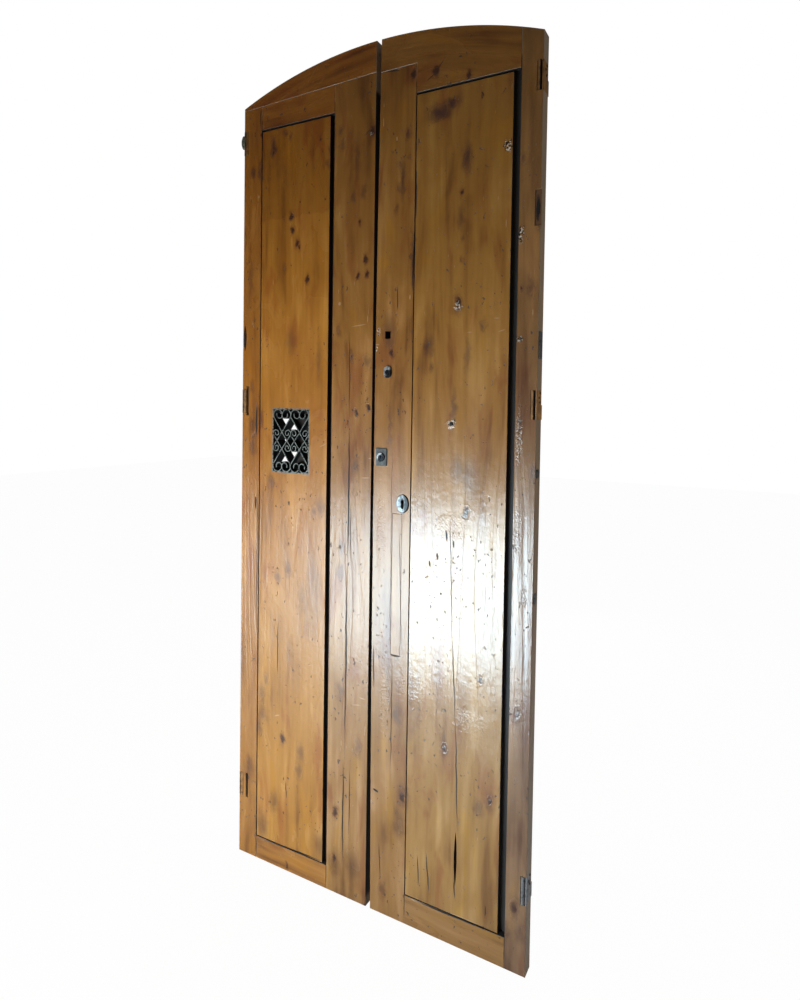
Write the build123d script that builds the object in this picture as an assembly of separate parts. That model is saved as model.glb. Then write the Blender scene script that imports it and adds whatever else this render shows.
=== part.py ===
from build123d import *
import math
import os

# Arched double door: two framed and panelled pine leaves hung on iron hinges
# in front of a plain rebated frame with an arched head.
# Millimetres. +X to the right seen from outside, +Y into the house, +Z up.
# The origin is at floor level in the middle of the door's width and depth.

# Whole door
door_width = 990.0
side_height = 2451.5
arch_rise = 95.0
leaf_thickness = 40.0
floor_clearance = 6.0
left_leaf_width = 498.0
meeting_gap = 7.5
meeting_edge_bow = 8.0
arris = 1.2
spare = 1.0

# Framing of the leaves
left_outer_stile = 73.0
left_meeting_stile = 144.0
right_outer_stile = 58.0
right_meeting_stile = 123.5
head_drop = 81.5
left_bottom_rail = 74.0
right_bottom_rail = 85.0
left_joint_low = -8.5
left_joint_high = 5.5
right_joint_rise = 0.5

# Panels, shrunk away from the stile on their right side
panel_set_back = 2.0
panel_body = 30.0
panel_shrink_left = 16.0
panel_shrink_right = 20.0
panel_top_gap = 4.5
panel_side_gap = 0.6
groove_from_front = 18.0
groove_width = 10.0
groove_depth = 8.0
tongue_play = 0.2
tongue_grip = 6.5

# Fixed frame behind the leaves
frame_inset = 12.0
frame_width = 60.0
frame_depth = 34.0
frame_gap = 2.5
fixing_hole_radius = 4.0
fixing_low = 400.0
fixing_high = 2000.0

# Hinges: a barrel sunk in the front corner of each outer stile
bottom_hinge_height = 230.0
middle_hinge_height = 1505.0
top_hinge_drop = 111.5
hinge_half_height = 38.0
hinge_inset = 11.0
hinge_sunk = 3.0
barrel_radius = 5.5
barrel_room = 0.7
pin_radius = 3.0
pin_play = 0.05
pin_reach = 30.0
hinge_plate = 3.5
hinge_plate_depth = 34.0
hinge_arm = 40.0
hinge_room = 0.5

# Viewing grille in the left panel
grille_from_stile = 52.0
grille_bottom = 1279.0
grille_width = 146.0
grille_height = 205.0
grille_rim = 4.0
grille_depth = 20.0
scroll_bar = 3.0
collar_radius = 3.2
heart_height = 72.0
lyre_height = 60.0
lyre_lobe = 10.5
curl_step = 0.62
curl_sweep = 205.0
hatch_margin = 6.0
hatch_right_margin = 62.0

# Locks in the right meeting stile
hardware_proud = 6.0
upper_lock_backset = 44.5
upper_lock_z = 1594.0
lower_lock_backset = 26.0
lower_lock_z = 1348.0
oval_collar_width = 24.0
oval_collar_height = 34.0
square_plate_width = 39.0
square_plate_height = 52.0
square_plate_thickness = 2.5
square_plate_corner = 5.0
round_collar_radius = 13.0
collar_bevel = 1.2
cylinder_radius = 10.5
plug_radius = 7.0
plug_play = 0.05
plug_tail = 6.0
plug_sunk = 0.5
key_slot_width = 2.2
key_slot_height = 8.5
key_slot_depth = 6.0

# Rim locks on the inside face, one behind each cylinder
rim_edge_room = 2.0
rim_case_width = 72.0
rim_case_depth = 22.0
rim_case_above = 24.0
rim_case_below = 38.0
rim_bolt_drop = 20.0
rim_bolt_depth = 10.0
rim_bolt_height = 22.0
rim_bolt_length = 46.0
rim_wall = 5.0
rim_bevel = 2.5
bolt_room = 0.3
pocket_room = 1.0
keeper_edge_room = 1.0
keeper_width = 27.0
keeper_pocket = 21.0

# Mortise lock below them
key_backset = 99.0
key_z = 1218.0
escutcheon_width = 41.0
escutcheon_height = 53.0
escutcheon_thickness = 3.0
escutcheon_bevel = 1.8
keyhole_radius = 5.0
keyhole_slot = 5.0
keyhole_drop = 15.0
lock_case_width = 107.0
lock_case_thickness = 20.0
lock_case_above = 60.0
lock_case_below = 95.0
forend = 3.0
forend_width = 24.0
forend_margin = 12.0
forend_sunk = 0.5
key_well = 12.0
bolt_drop = 42.0
bolt_thickness = 12.0
bolt_height = 30.0
bolt_length = 58.0
strike_depth = 24.0
strike_height = 110.0

# Square socket left by an older lock
socket_backset = 42.5
socket_z = 1700.5
socket_width = 18.0
socket_height = 22.0
socket_depth = 30.0

# Strip let into the right meeting stile as a repair
repair_backset = 65.5
repair_width = 32.0
repair_low = 777.0
repair_high = 1188.0
repair_depth = 8.0

# Marks of age
panel_split_from_stile = 146.5
panel_split_low = 165.0
panel_split_high = 322.0
panel_split_width = 9.0
panel_split_depth = 14.0
old_plate_drop = 332.0
old_plate_half = 46.0
old_plate_width = 9.0
old_plate_thickness = 3.5
old_plate_sunk = 3.0
strap_from_edge = 10.0
strap_above_hinge = 164.0
strap_length = 84.0
strap_width = 10.0
strap_thickness = 1.5
old_slots = {"middle": (17.0, 27.0, 1459.0, 1554.0), "bottom": (27.0, 37.0, 189.0, 270.0)}
old_slot_depth = 14.0

# Places that follow from the sizes above
half_width = door_width / 2
foot = floor_clearance
arch_radius = (half_width**2 + arch_rise**2) / (2 * arch_rise)
arch_centre = foot + side_height + arch_rise - arch_radius
crown = foot + side_height + arch_rise
overall_depth = hardware_proud + leaf_thickness + frame_gap + frame_depth
front = hardware_proud - overall_depth / 2
back = front + leaf_thickness
frame_front = back + frame_gap
frame_back = frame_front + frame_depth
left_edge = left_leaf_width - half_width
right_edge = left_edge + meeting_gap
left_opening = (left_outer_stile - half_width, left_edge - left_meeting_stile)
right_opening = (right_edge + right_meeting_stile, half_width - right_outer_stile)
spring = foot + side_height
opening_top = spring - head_drop
groove_front = front + groove_from_front
groove_back = groove_front + groove_width
pivot_x = half_width - hinge_inset
pivot_y = front + hinge_sunk
barrel_back = pivot_y + barrel_radius
hinge_centres = {
    "bottom": foot + bottom_hinge_height,
    "middle": foot + middle_hinge_height,
    "top": spring - top_hinge_drop,
}
upper_lock_x = right_edge + upper_lock_backset
lower_lock_x = right_edge + lower_lock_backset
key_x = right_edge + key_backset
socket_x = right_edge + socket_backset
repair_left = right_edge + repair_backset
panel_split_x = right_opening[1] - panel_split_from_stile
grille_left = left_opening[0] + grille_from_stile
grille_front = front + panel_set_back
grille_back = grille_front + grille_depth
sky = crown + arch_rise


def block(x0, x1, y0, y1, z0, z1):
    """A rectangular block between two corners."""
    size = Box(x1 - x0, y1 - y0, z1 - z0)
    return Pos((x0 + x1) / 2, (y0 + y1) / 2, (z0 + z1) / 2) * size


def slab(outline, y0, y1):
    """An outline drawn in X and Z, given its thickness along Y."""
    plane = Plane(origin=(0, y1, 0), x_dir=(1, 0, 0), z_dir=(0, -1, 0))
    return extrude(plane * outline, y1 - y0)


def sheet(x0, x1, z0, z1):
    """A rectangle in X and Z."""
    return Pos((x0 + x1) / 2, (z0 + z1) / 2) * Rectangle(x1 - x0, z1 - z0)


def drum(x, z, radius, y0, y1):
    """A round bar along Y."""
    return Pos(x, (y0 + y1) / 2, z) * Rot(90, 0, 0) * Cylinder(radius, y1 - y0)


def under_arch(outline, radius):
    """The part of an outline that lies below the arch."""
    head = Pos(0, arch_centre) * Circle(radius)
    return outline & (head + sheet(-radius, radius, 0, arch_centre))


def polygon(*points):
    """A straight-sided outline in X and Z."""
    return make_face(Polyline(*points, close=True))


def soften_front(piece, y):
    """Worn arrises round the front face of a board."""
    edges = [e for e in piece.edges() if all(abs(v.Y - y) < 0.01 for v in e.vertices())]
    return chamfer(edges, arris)


# Outlines of the two leaves


def left_leaf_outline():
    return under_arch(sheet(-half_width, left_edge, foot, sky), arch_radius)


def right_leaf_outline():
    """The meeting edge stands a little proud at mid height."""
    middle = (foot + crown) / 2
    bowed = right_edge + meeting_edge_bow
    edge = ThreePointArc((bowed, crown), (right_edge, middle), (bowed, foot))
    rest = Polyline((bowed, foot), (half_width, foot), (half_width, crown), (bowed, crown))
    return under_arch(make_face([edge, rest]), arch_radius)


def panel_groove(opening, sill):
    """The groove that runs round an opening for the panel's tongue."""
    return block(
        opening[0] - groove_depth, opening[1] + groove_depth,
        groove_front, groove_back,
        sill - groove_depth, opening_top + groove_depth,
    )


def board(outline, groove):
    """One member of a leaf's frame: grooved, with softened front arrises."""
    plank = soften_front(slab(outline, front, back), front)
    return plank - groove


# Hinges, seen on the right side; the left ones are their mirror


def hinge_recess(centre):
    """What a hinge takes out of the front corner and edge of an outer stile."""
    low = centre - hinge_half_height
    high = centre + hinge_half_height
    inner = pivot_x - barrel_radius - barrel_room
    plate_face = half_width - hinge_plate
    depth = barrel_back + barrel_room
    corner = block(inner, half_width + spare, front - spare, depth, low, high)
    lower_gain = block(plate_face - hinge_room, half_width + spare, front - spare, back + spare, low, centre)
    upper_gain = block(plate_face, half_width + spare, front - spare, front + hinge_plate_depth, centre, high)
    return corner + lower_gain + upper_gain


def hinge_barrel(z0, z1):
    return Pos(pivot_x, pivot_y, (z0 + z1) / 2) * Cylinder(barrel_radius, z1 - z0)


def hinge_core(radius, z0, z1):
    return Pos(pivot_x, pivot_y, (z0 + z1) / 2) * Cylinder(radius, z1 - z0)


def hinge_web(z0, z1):
    """The flat that joins the barrel to the plate on the leaf's edge."""
    return block(pivot_x, half_width, barrel_back - hinge_plate, barrel_back, z0, z1)


def frame_hinge(centre):
    """Lower half: barrel with the pin on it, edge plate and the arm let into the jamb."""
    low = centre - hinge_half_height
    edge = block(half_width - hinge_plate, half_width, front, frame_front + hinge_plate, low, centre)
    arm = block(half_width - hinge_arm, half_width, frame_front, frame_front + hinge_plate, low, centre)
    half = hinge_barrel(low, centre) + hinge_web(low, centre) + edge + arm
    return half + hinge_core(pin_radius, centre, centre + pin_reach - barrel_room)


def leaf_hinge(centre):
    """Upper half: barrel and the plate screwed to the leaf's edge."""
    high = centre + hinge_half_height
    plate = block(half_width - hinge_plate, half_width, front, front + hinge_plate_depth, centre, high)
    half = hinge_barrel(centre, high) + hinge_web(centre, high) + plate
    return half - hinge_core(pin_radius + pin_play, centre, centre + pin_reach)


# Fixed frame


def right_jamb():
    outer = half_width - frame_inset
    top = head_seat()
    jamb = block(outer - frame_width, outer, frame_front, frame_back, 0, top)
    for centre in hinge_centres.values():
        jamb -= block(
            half_width - hinge_arm, outer + spare, frame_front - spare, frame_front + hinge_plate,
            centre - hinge_half_height, centre,
        )
    for height in (fixing_low, fixing_high):
        centre_x = outer - frame_width / 2
        jamb -= drum(centre_x, height, fixing_hole_radius, frame_front - spare, frame_back + spare)
    return jamb


def head_seat():
    """Height at which the arched head sits on the jambs."""
    inner = half_width - frame_inset - frame_width
    radius = arch_radius - frame_inset - frame_width
    return arch_centre + math.sqrt(radius**2 - inner**2)


def arched_head():
    outer = half_width - frame_inset
    seat = head_seat()
    above = sheet(-outer, outer, seat, sky)
    ring = under_arch(above, arch_radius - frame_inset)
    void = Pos(0, arch_centre) * Circle(arch_radius - frame_inset - frame_width)
    return slab(ring - void, frame_front, frame_back)


# Left leaf


def left_head_joint():
    """The joint on which the arched board stands, rising a little towards the meeting edge."""
    return (-half_width, spring + left_joint_low), (left_edge, spring + left_joint_high)


def under_head_joint(outline):
    outer, inner = left_head_joint()
    return outline & polygon((-half_width, foot), outer, inner, (left_edge, foot))


def left_outer_board(groove):
    stile = board(under_head_joint(sheet(-half_width, left_opening[0], foot, sky)), groove)
    for centre in hinge_centres.values():
        stile -= mirror(hinge_recess(centre), Plane.YZ)
    for near, far, low, high in old_slots.values():
        stile -= block(
            near - half_width, far - half_width, front - spare, front + old_slot_depth,
            foot + low, foot + high,
        )
    return stile


def left_meeting_board(groove):
    outline = under_head_joint(sheet(left_opening[1], left_edge, foot, sky))
    return board(outline, groove) - strike_recess()


def left_top_board(groove):
    """The straight rail between the stiles, under the arched board."""
    return board(under_head_joint(sheet(*left_opening, opening_top, sky)), groove)


def left_arched_board():
    """It runs over both stiles, down to a thin tip at the outer edge."""
    outer, inner = left_head_joint()
    above = polygon(outer, inner, (left_edge, sky), (-half_width, sky))
    return soften_front(slab(left_leaf_outline() & above, front, back), front)


def left_bottom_board(groove):
    return board(sheet(*left_opening, foot, foot + left_bottom_rail), groove)


def panel(opening, sill, shrink):
    """A fielded panel whose tongue sits in the groove all round."""
    body = block(
        opening[0] + panel_side_gap, opening[1] - shrink,
        front + panel_set_back, front + panel_set_back + panel_body,
        sill + panel_side_gap, opening_top - panel_top_gap,
    )
    body = soften_front(body, front + panel_set_back)
    tongue = block(
        opening[0] - tongue_grip, opening[1] + tongue_grip,
        groove_front + tongue_play, groove_back - tongue_play,
        sill - groove_depth, opening_top + tongue_grip,
    )
    return body + tongue


def grille_box(margin_left, margin_right, margin_z):
    z0 = foot + grille_bottom
    return sheet(
        grille_left + margin_left, grille_left + grille_width - margin_right,
        z0 + margin_z, z0 + grille_height - margin_z,
    )


def left_panel():
    plank = panel(left_opening, foot + left_bottom_rail, panel_shrink_left)
    seat = slab(grille_box(0, 0, 0), front - spare, grille_back)
    hatch = slab(grille_box(hatch_margin, hatch_right_margin, hatch_margin), front - spare, back + spare)
    return plank - seat - hatch


# Viewing grille: hearts and lyres of scrolled bar on edge, inside a thin rim


def arc_bar(centre, radius, start, sweep):
    """A stretch of bar bent to an arc, as a face."""
    outer = radius + scroll_bar / 2
    inner = radius - scroll_bar / 2
    end = start + sweep

    def at(r, a):
        turn = math.radians(a)
        return (centre[0] + r * math.cos(turn), centre[1] + r * math.sin(turn))

    mid = (start + end) / 2
    return make_face([
        ThreePointArc(at(outer, start), at(outer, mid), at(outer, end)),
        Line(at(outer, end), at(inner, end)),
        ThreePointArc(at(inner, end), at(inner, mid), at(inner, start)),
        Line(at(inner, start), at(outer, start)),
    ])


def straight_bar(start, end):
    run = Vector(end[0] - start[0], end[1] - start[1])
    side = Vector(-run.Y, run.X).normalized() * (scroll_bar / 2)
    a = Vector(*start)
    b = Vector(*end)
    return polygon(*((p.X, p.Y) for p in (a + side, b + side, b - side, a - side)))


def scroll(reach, height, lobe):
    """From the point, out to the lobe and round into its curl."""
    centre = (lobe - reach, height - lobe)
    run = math.hypot(*centre)
    lean = math.degrees(math.atan2(centre[1], centre[0]))
    touch = lean + 180 - math.degrees(math.acos(lobe / run))
    turn = math.radians(touch)
    leave = (centre[0] + lobe * math.cos(turn), centre[1] + lobe * math.sin(turn))
    curl = lobe * curl_step
    shape = straight_bar((0, 0), leave)
    shape += arc_bar(centre, lobe, touch, -touch)
    return shape + arc_bar((centre[0] + lobe - curl, centre[1]), curl, 0, -curl_sweep)


def both_sides(arm):
    return arm + mirror(arm, Plane.YZ)


def grille_scrolls():
    """Two columns, alike above and below mid height: a heart and a lyre from each collar."""
    wide = grille_width / 2 - grille_rim
    tall = grille_height / 2 - grille_rim
    reach = wide / 2
    collar = tall - heart_height
    heart = Pos(0, collar) * both_sides(scroll(reach, heart_height, reach / 2))
    lyre = Pos(0, -collar) * both_sides(scroll(reach, lyre_height, lyre_lobe))
    half = heart + lyre + Pos(0, collar) * Circle(collar_radius)
    column = half + mirror(half, Plane.XZ)
    pattern = Pos(-reach, 0) * column + Pos(reach, 0) * column
    middle = Pos(grille_left + grille_width / 2, foot + grille_bottom + grille_height / 2)
    inside = Rectangle(2 * wide, 2 * tall)
    return slab(middle * (pattern & inside), grille_front, grille_back)


def grille_frame():
    rim = grille_box(0, 0, 0) - grille_box(grille_rim, grille_rim, grille_rim)
    return slab(rim, grille_front, grille_back)


# Right leaf


def right_outer_board(groove):
    outline = right_leaf_outline() & sheet(right_opening[1], half_width, 0, sky)
    stile = board(outline, groove)
    for centre in hinge_centres.values():
        stile -= hinge_recess(centre)
    return stile - old_plate_recess()


def right_meeting_board(groove):
    outline = right_leaf_outline() & sheet(left_edge, right_opening[0], foot, spring + right_joint_rise)
    stile = board(outline, groove)
    stile -= slab(
        Pos(socket_x, foot + socket_z) * Rectangle(socket_width, socket_height),
        front - spare, front + socket_depth,
    )
    for x, z in ((upper_lock_x, upper_lock_z), (lower_lock_x, lower_lock_z)):
        stile -= drum(x, foot + z, cylinder_radius, front - spare, back + spare)
    stile -= slab(keyhole(), front - spare, lock_case_front() + spare)
    stile -= lock_case_blank()
    return stile - repair_blank()


def right_arched_rail(groove):
    shape = polygon(
        (right_opening[1], opening_top), (right_opening[0], opening_top),
        (right_opening[0], spring + right_joint_rise), (left_edge, spring + right_joint_rise),
        (left_edge, sky), (right_opening[1], sky),
    )
    return board(right_leaf_outline() & shape, groove)


def right_bottom_board(groove):
    return board(sheet(*right_opening, foot, foot + right_bottom_rail), groove)


def right_panel():
    """The panel has opened in one long split near its foot."""
    plank = panel(right_opening, foot + right_bottom_rail, panel_shrink_right)
    low = (panel_split_x, foot + panel_split_low)
    high = (panel_split_x, foot + panel_split_high)
    centre = (foot + panel_split_low + foot + panel_split_high) / 2
    left_lip = ThreePointArc(low, (panel_split_x - panel_split_width / 2, centre), high)
    right_lip = ThreePointArc(high, (panel_split_x + panel_split_width / 2, centre), low)
    split = make_face([left_lip, right_lip])
    return plank - slab(split, front - spare, front + panel_set_back + panel_split_depth)


def repair_blank():
    return block(
        repair_left, repair_left + repair_width, front - spare, front + repair_depth,
        foot + repair_low, foot + repair_high,
    )


def repair_strip():
    strip = block(
        repair_left, repair_left + repair_width, front, front + repair_depth,
        foot + repair_low, foot + repair_high,
    )
    return soften_front(strip, front)


# Cylinder locks


def key_slot(x, z, y0):
    return block(
        x - key_slot_width / 2, x + key_slot_width / 2, y0 - spare, y0 + key_slot_depth,
        z - key_slot_height / 2, z + key_slot_height / 2,
    )


def cylinder_bore(x, z):
    return drum(x, z, plug_radius + plug_play, front - hardware_proud - spare, back + spare)


def upper_cylinder():
    """Oval collar on a round body that passes through the stile."""
    z = foot + upper_lock_z
    straight = oval_collar_height - oval_collar_width
    collar = Pos(upper_lock_x, z) * SlotCenterToCenter(straight, oval_collar_width, rotation=90)
    proud = front - hardware_proud
    oval = slab(collar, proud, front)
    rim = [e for e in oval.edges() if abs(e.center().Y - proud) < 0.01]
    body = drum(upper_lock_x, z, cylinder_radius, front, back)
    return chamfer(rim, collar_bevel) + body - cylinder_bore(upper_lock_x, z)


def lower_plate():
    """Square plate with rounded corners under the round collar."""
    z = foot + lower_lock_z
    outline = RectangleRounded(square_plate_width, square_plate_height, square_plate_corner)
    hole = Circle(cylinder_radius)
    return slab(Pos(lower_lock_x, z) * (outline - hole), front - square_plate_thickness, front)


def lower_cylinder():
    z = foot + lower_lock_z
    proud = front - hardware_proud
    collar = drum(lower_lock_x, z, round_collar_radius, proud, front - square_plate_thickness)
    rim = [e for e in collar.edges() if abs(e.center().Y - proud) < 0.01]
    body = drum(lower_lock_x, z, cylinder_radius, front - square_plate_thickness, back)
    return chamfer(rim, collar_bevel) + body - cylinder_bore(lower_lock_x, z)


def plug(x, z):
    """The turning core, with its key slot and the tail that enters the rim lock."""
    face = front - hardware_proud + plug_sunk
    core = drum(x, foot + z, plug_radius, face, back + plug_tail)
    return core - key_slot(x, foot + z, face)


def rim_case(x, z):
    """Case on the inside face with a channel for its bolt."""
    centre = foot + z
    x0 = right_edge + rim_edge_room
    case = block(
        x0, x0 + rim_case_width, back, back + rim_case_depth,
        centre - rim_case_below, centre + rim_case_above,
    )
    outside = case.faces().sort_by(Axis.Y)[-1].edges()
    case = chamfer(outside, rim_bevel)
    channel = rim_bolt(z, bolt_room)
    tail = drum(x, centre, plug_radius + bolt_room, back - spare, back + plug_tail + bolt_room)
    return case - channel - tail


def rim_bolt(z, room=0.0):
    centre = foot + z - rim_bolt_drop
    middle = back + rim_case_depth / 2
    x0 = right_edge + rim_edge_room
    return block(
        x0 - room, x0 + rim_bolt_length + room,
        middle - rim_bolt_depth / 2 - room, middle + rim_bolt_depth / 2 + room,
        centre - rim_bolt_height / 2 - room, centre + rim_bolt_height / 2 + room,
    )


def rim_keeper(z):
    """Box staple on the left leaf that takes the thrown bolt."""
    centre = foot + z - rim_bolt_drop
    middle = back + rim_case_depth / 2
    high = rim_bolt_height / 2 + pocket_room
    deep = rim_bolt_depth / 2 + pocket_room
    x1 = left_edge - keeper_edge_room
    shell = block(
        x1 - keeper_width, x1, back, back + rim_case_depth,
        centre - high - rim_wall, centre + high + rim_wall,
    )
    outside = shell.faces().sort_by(Axis.Y)[-1].edges()
    shell = chamfer(outside, rim_bevel)
    pocket = block(
        x1 - keeper_pocket, x1 + spare, middle - deep, middle + deep, centre - high, centre + high,
    )
    return shell - pocket


# Mortise lock


def keyhole():
    """Round top over a straight slot."""
    eye = Pos(key_x, foot + key_z + keyhole_radius) * Circle(keyhole_radius)
    slot = sheet(
        key_x - keyhole_slot / 2, key_x + keyhole_slot / 2,
        foot + key_z - keyhole_drop, foot + key_z + keyhole_radius,
    )
    return eye + slot


def escutcheon():
    outline = Pos(key_x, foot + key_z) * Ellipse(escutcheon_width / 2, escutcheon_height / 2)
    plate = slab(outline, front - escutcheon_thickness, front)
    proud = front - escutcheon_thickness
    rim = [e for e in plate.edges() if abs(e.center().Y - proud) < 0.01]
    plate = chamfer(rim, escutcheon_bevel)
    return plate - slab(keyhole(), proud - spare, front + spare)


def lock_case_front():
    return (front + back) / 2 - lock_case_thickness / 2


def lock_case_blank():
    """Room for the lock: a deep pocket and a shallow one for the forend."""
    middle = (front + back) / 2
    x0 = right_edge + forend_sunk
    low = foot + key_z - lock_case_below
    high = foot + key_z + lock_case_above
    case = block(
        x0 + forend, x0 + forend + lock_case_width, middle - lock_case_thickness / 2,
        middle + lock_case_thickness / 2, low, high,
    )
    plate = block(
        x0, x0 + forend, middle - forend_width / 2, middle + forend_width / 2,
        low - forend_margin, high + forend_margin,
    )
    mouth = block(
        right_edge - spare, x0, middle - forend_width / 2, middle + forend_width / 2,
        low - forend_margin, high + forend_margin,
    )
    return case + plate + mouth


def mortise_bolt(room=0.0):
    middle = (front + back) / 2
    centre = foot + key_z - bolt_drop
    x0 = right_edge + forend_sunk
    return block(
        x0 - room, x0 + bolt_length + room,
        middle - bolt_thickness / 2 - room, middle + bolt_thickness / 2 + room,
        centre - bolt_height / 2 - room, centre + bolt_height / 2 + room,
    )


def mortise_lock_case():
    lock = lock_case_blank() & block(
        right_edge + forend_sunk, right_opening[0], front, back, 0, sky
    )
    well = slab(keyhole(), lock_case_front() - spare, lock_case_front() + key_well)
    return lock - mortise_bolt(bolt_room) - well


def strike_recess():
    """Pocket for the thrown bolt and the seat of its plate."""
    middle = (front + back) / 2
    centre = foot + key_z - bolt_drop
    deep = bolt_thickness / 2 + pocket_room
    high = bolt_height / 2 + pocket_room
    pocket = block(
        left_edge - strike_depth, left_edge + spare, middle - deep, middle + deep,
        centre - high, centre + high,
    )
    seat = block(
        left_edge - forend, left_edge + spare, middle - forend_width / 2, middle + forend_width / 2,
        centre - strike_height / 2, centre + strike_height / 2,
    )
    return pocket + seat


def strike_plate():
    middle = (front + back) / 2
    centre = foot + key_z - bolt_drop
    deep = bolt_thickness / 2 + pocket_room
    high = bolt_height / 2 + pocket_room
    plate = block(
        left_edge - forend, left_edge, middle - forend_width / 2, middle + forend_width / 2,
        centre - strike_height / 2, centre + strike_height / 2,
    )
    hole = block(
        left_edge - forend - spare, left_edge + spare, middle - deep, middle + deep,
        centre - high, centre + high,
    )
    return plate - hole


# Remains of older hinges


def old_plate_recess():
    centre = hinge_centres["top"] - old_plate_drop
    return block(
        half_width - hinge_inset - old_plate_width / 2, half_width + spare,
        front - spare, front + old_plate_sunk + old_plate_thickness,
        centre - old_plate_half, centre + old_plate_half,
    )


def old_hinge_plate():
    """Flat iron left in its recess in the right stile's corner."""
    centre = hinge_centres["top"] - old_plate_drop
    y0 = front + old_plate_sunk
    return block(
        half_width - hinge_inset - old_plate_width / 2, half_width,
        y0, y0 + old_plate_thickness, centre - old_plate_half, centre + old_plate_half,
    )


def old_strap():
    """Worn end of a strap left on the face of the left stile."""
    strap_x = strap_from_edge - half_width
    base = hinge_centres["middle"] + strap_above_hinge
    low = (strap_x, base)
    high = (strap_x, base + strap_length)
    centre = base + strap_length / 2
    out = ThreePointArc(low, (strap_x - strap_width / 2, centre), high)
    home = ThreePointArc(high, (strap_x + strap_width / 2, centre), low)
    return slab(make_face([out, home]), front - strap_thickness, front)


def build_parts():
    left_groove = panel_groove(left_opening, foot + left_bottom_rail)
    right_groove = panel_groove(right_opening, foot + right_bottom_rail)
    jamb = right_jamb()
    parts = {
        "left_jamb": mirror(jamb, Plane.YZ),
        "right_jamb": jamb,
        "arched_head": arched_head(),
        "left_outer_stile": left_outer_board(left_groove),
        "left_meeting_stile": left_meeting_board(left_groove),
        "left_arched_rail": left_arched_board(),
        "left_top_rail": left_top_board(left_groove),
        "left_bottom_rail": left_bottom_board(left_groove),
        "left_panel": left_panel(),
        "grille_frame": grille_frame(),
        "grille_scrolls": grille_scrolls(),
        "right_outer_stile": right_outer_board(right_groove),
        "right_meeting_stile": right_meeting_board(right_groove),
        "right_arched_rail": right_arched_rail(right_groove),
        "right_bottom_rail": right_bottom_board(right_groove),
        "right_panel": right_panel(),
        "repair_strip": repair_strip(),
        "upper_cylinder": upper_cylinder(),
        "upper_plug": plug(upper_lock_x, upper_lock_z),
        "upper_rim_lock": rim_case(upper_lock_x, upper_lock_z),
        "upper_rim_bolt": rim_bolt(upper_lock_z),
        "upper_keeper": rim_keeper(upper_lock_z),
        "lower_plate": lower_plate(),
        "lower_cylinder": lower_cylinder(),
        "lower_plug": plug(lower_lock_x, lower_lock_z),
        "lower_rim_lock": rim_case(lower_lock_x, lower_lock_z),
        "lower_rim_bolt": rim_bolt(lower_lock_z),
        "lower_keeper": rim_keeper(lower_lock_z),
        "keyhole_escutcheon": escutcheon(),
        "mortise_lock_case": mortise_lock_case(),
        "mortise_bolt": mortise_bolt(),
        "strike_plate": strike_plate(),
        "old_hinge_plate": old_hinge_plate(),
        "old_strap": old_strap(),
    }
    kinds = {"frame_hinge": frame_hinge, "leaf_hinge": leaf_hinge}
    for place, centre in hinge_centres.items():
        for kind, make in kinds.items():
            piece = make(centre)
            parts[f"{kind}_right_{place}"] = piece
            parts[f"{kind}_left_{place}"] = mirror(piece, Plane.YZ)
    return parts


os.makedirs("parts", exist_ok=True)
for name, shape in build_parts().items():
    export_step(shape, f"parts/{name}.step")
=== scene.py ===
import math

import bmesh
import bpy
from mathutils import Matrix, Vector


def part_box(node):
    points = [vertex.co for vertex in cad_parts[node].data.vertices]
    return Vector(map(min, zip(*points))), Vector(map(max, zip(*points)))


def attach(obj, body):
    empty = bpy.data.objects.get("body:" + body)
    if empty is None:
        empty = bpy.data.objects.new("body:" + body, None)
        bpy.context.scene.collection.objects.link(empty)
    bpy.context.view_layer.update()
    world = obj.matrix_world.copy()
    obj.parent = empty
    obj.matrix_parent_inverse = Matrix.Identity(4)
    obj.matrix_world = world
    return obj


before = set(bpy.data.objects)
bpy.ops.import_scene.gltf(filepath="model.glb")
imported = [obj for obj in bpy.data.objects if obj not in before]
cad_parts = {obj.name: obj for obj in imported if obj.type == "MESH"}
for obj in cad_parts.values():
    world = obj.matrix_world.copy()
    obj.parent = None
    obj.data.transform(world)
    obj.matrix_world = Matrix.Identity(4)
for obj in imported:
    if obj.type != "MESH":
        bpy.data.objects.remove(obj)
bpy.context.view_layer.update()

# How old pine is marked
SPOT_STRENGTH = 0.55
KNOT_STRENGTH = 0.8
SPOT_STRETCH = 1.9
RINGS = 95.0
RING_HEIGHT = 0.6
GRAIN_SWAY = 0.03
RUSSET = (0.80, 0.62, 0.60, 1.0)
GOLDEN = (1.10, 1.06, 0.62, 1.0)

# The leaves, in metres
LEAF_FRONT = -0.03525
LEAF_BACK = 0.00475
PANEL_FRONT = -0.03325
ARCH_CENTRE_Z = 1.215395
ARCH_RADIUS = 1.337105

# Where marks fade out behind the front, and where the outer edges begin, in metres
MARKS_END = (-0.028, -0.020)
EDGE_SIDES = (0.458, 0.466)
EDGE_TOP = (2.400, 2.415)
EDGE_FOOT = (0.020, 0.050)


# Camera and light

CAMERA_AT = (0.9881, -1.66245, 1.5073)
CAMERA_YAW = 28.71
CAMERA_PITCH = 1.674
CAMERA_ROLL = -0.855
CAMERA_LENS = 23.4
CAMERA_SHIFT = -0.0765
ROOM_GLOW = 0.06
FLOOR_GLOW = 0.98
FLOOR_REACH = 12.0
WINDOW_BLUE = (0.66, 0.87, 1.0)
PALE_SKY = (0.88, 0.96, 1.0)


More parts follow.
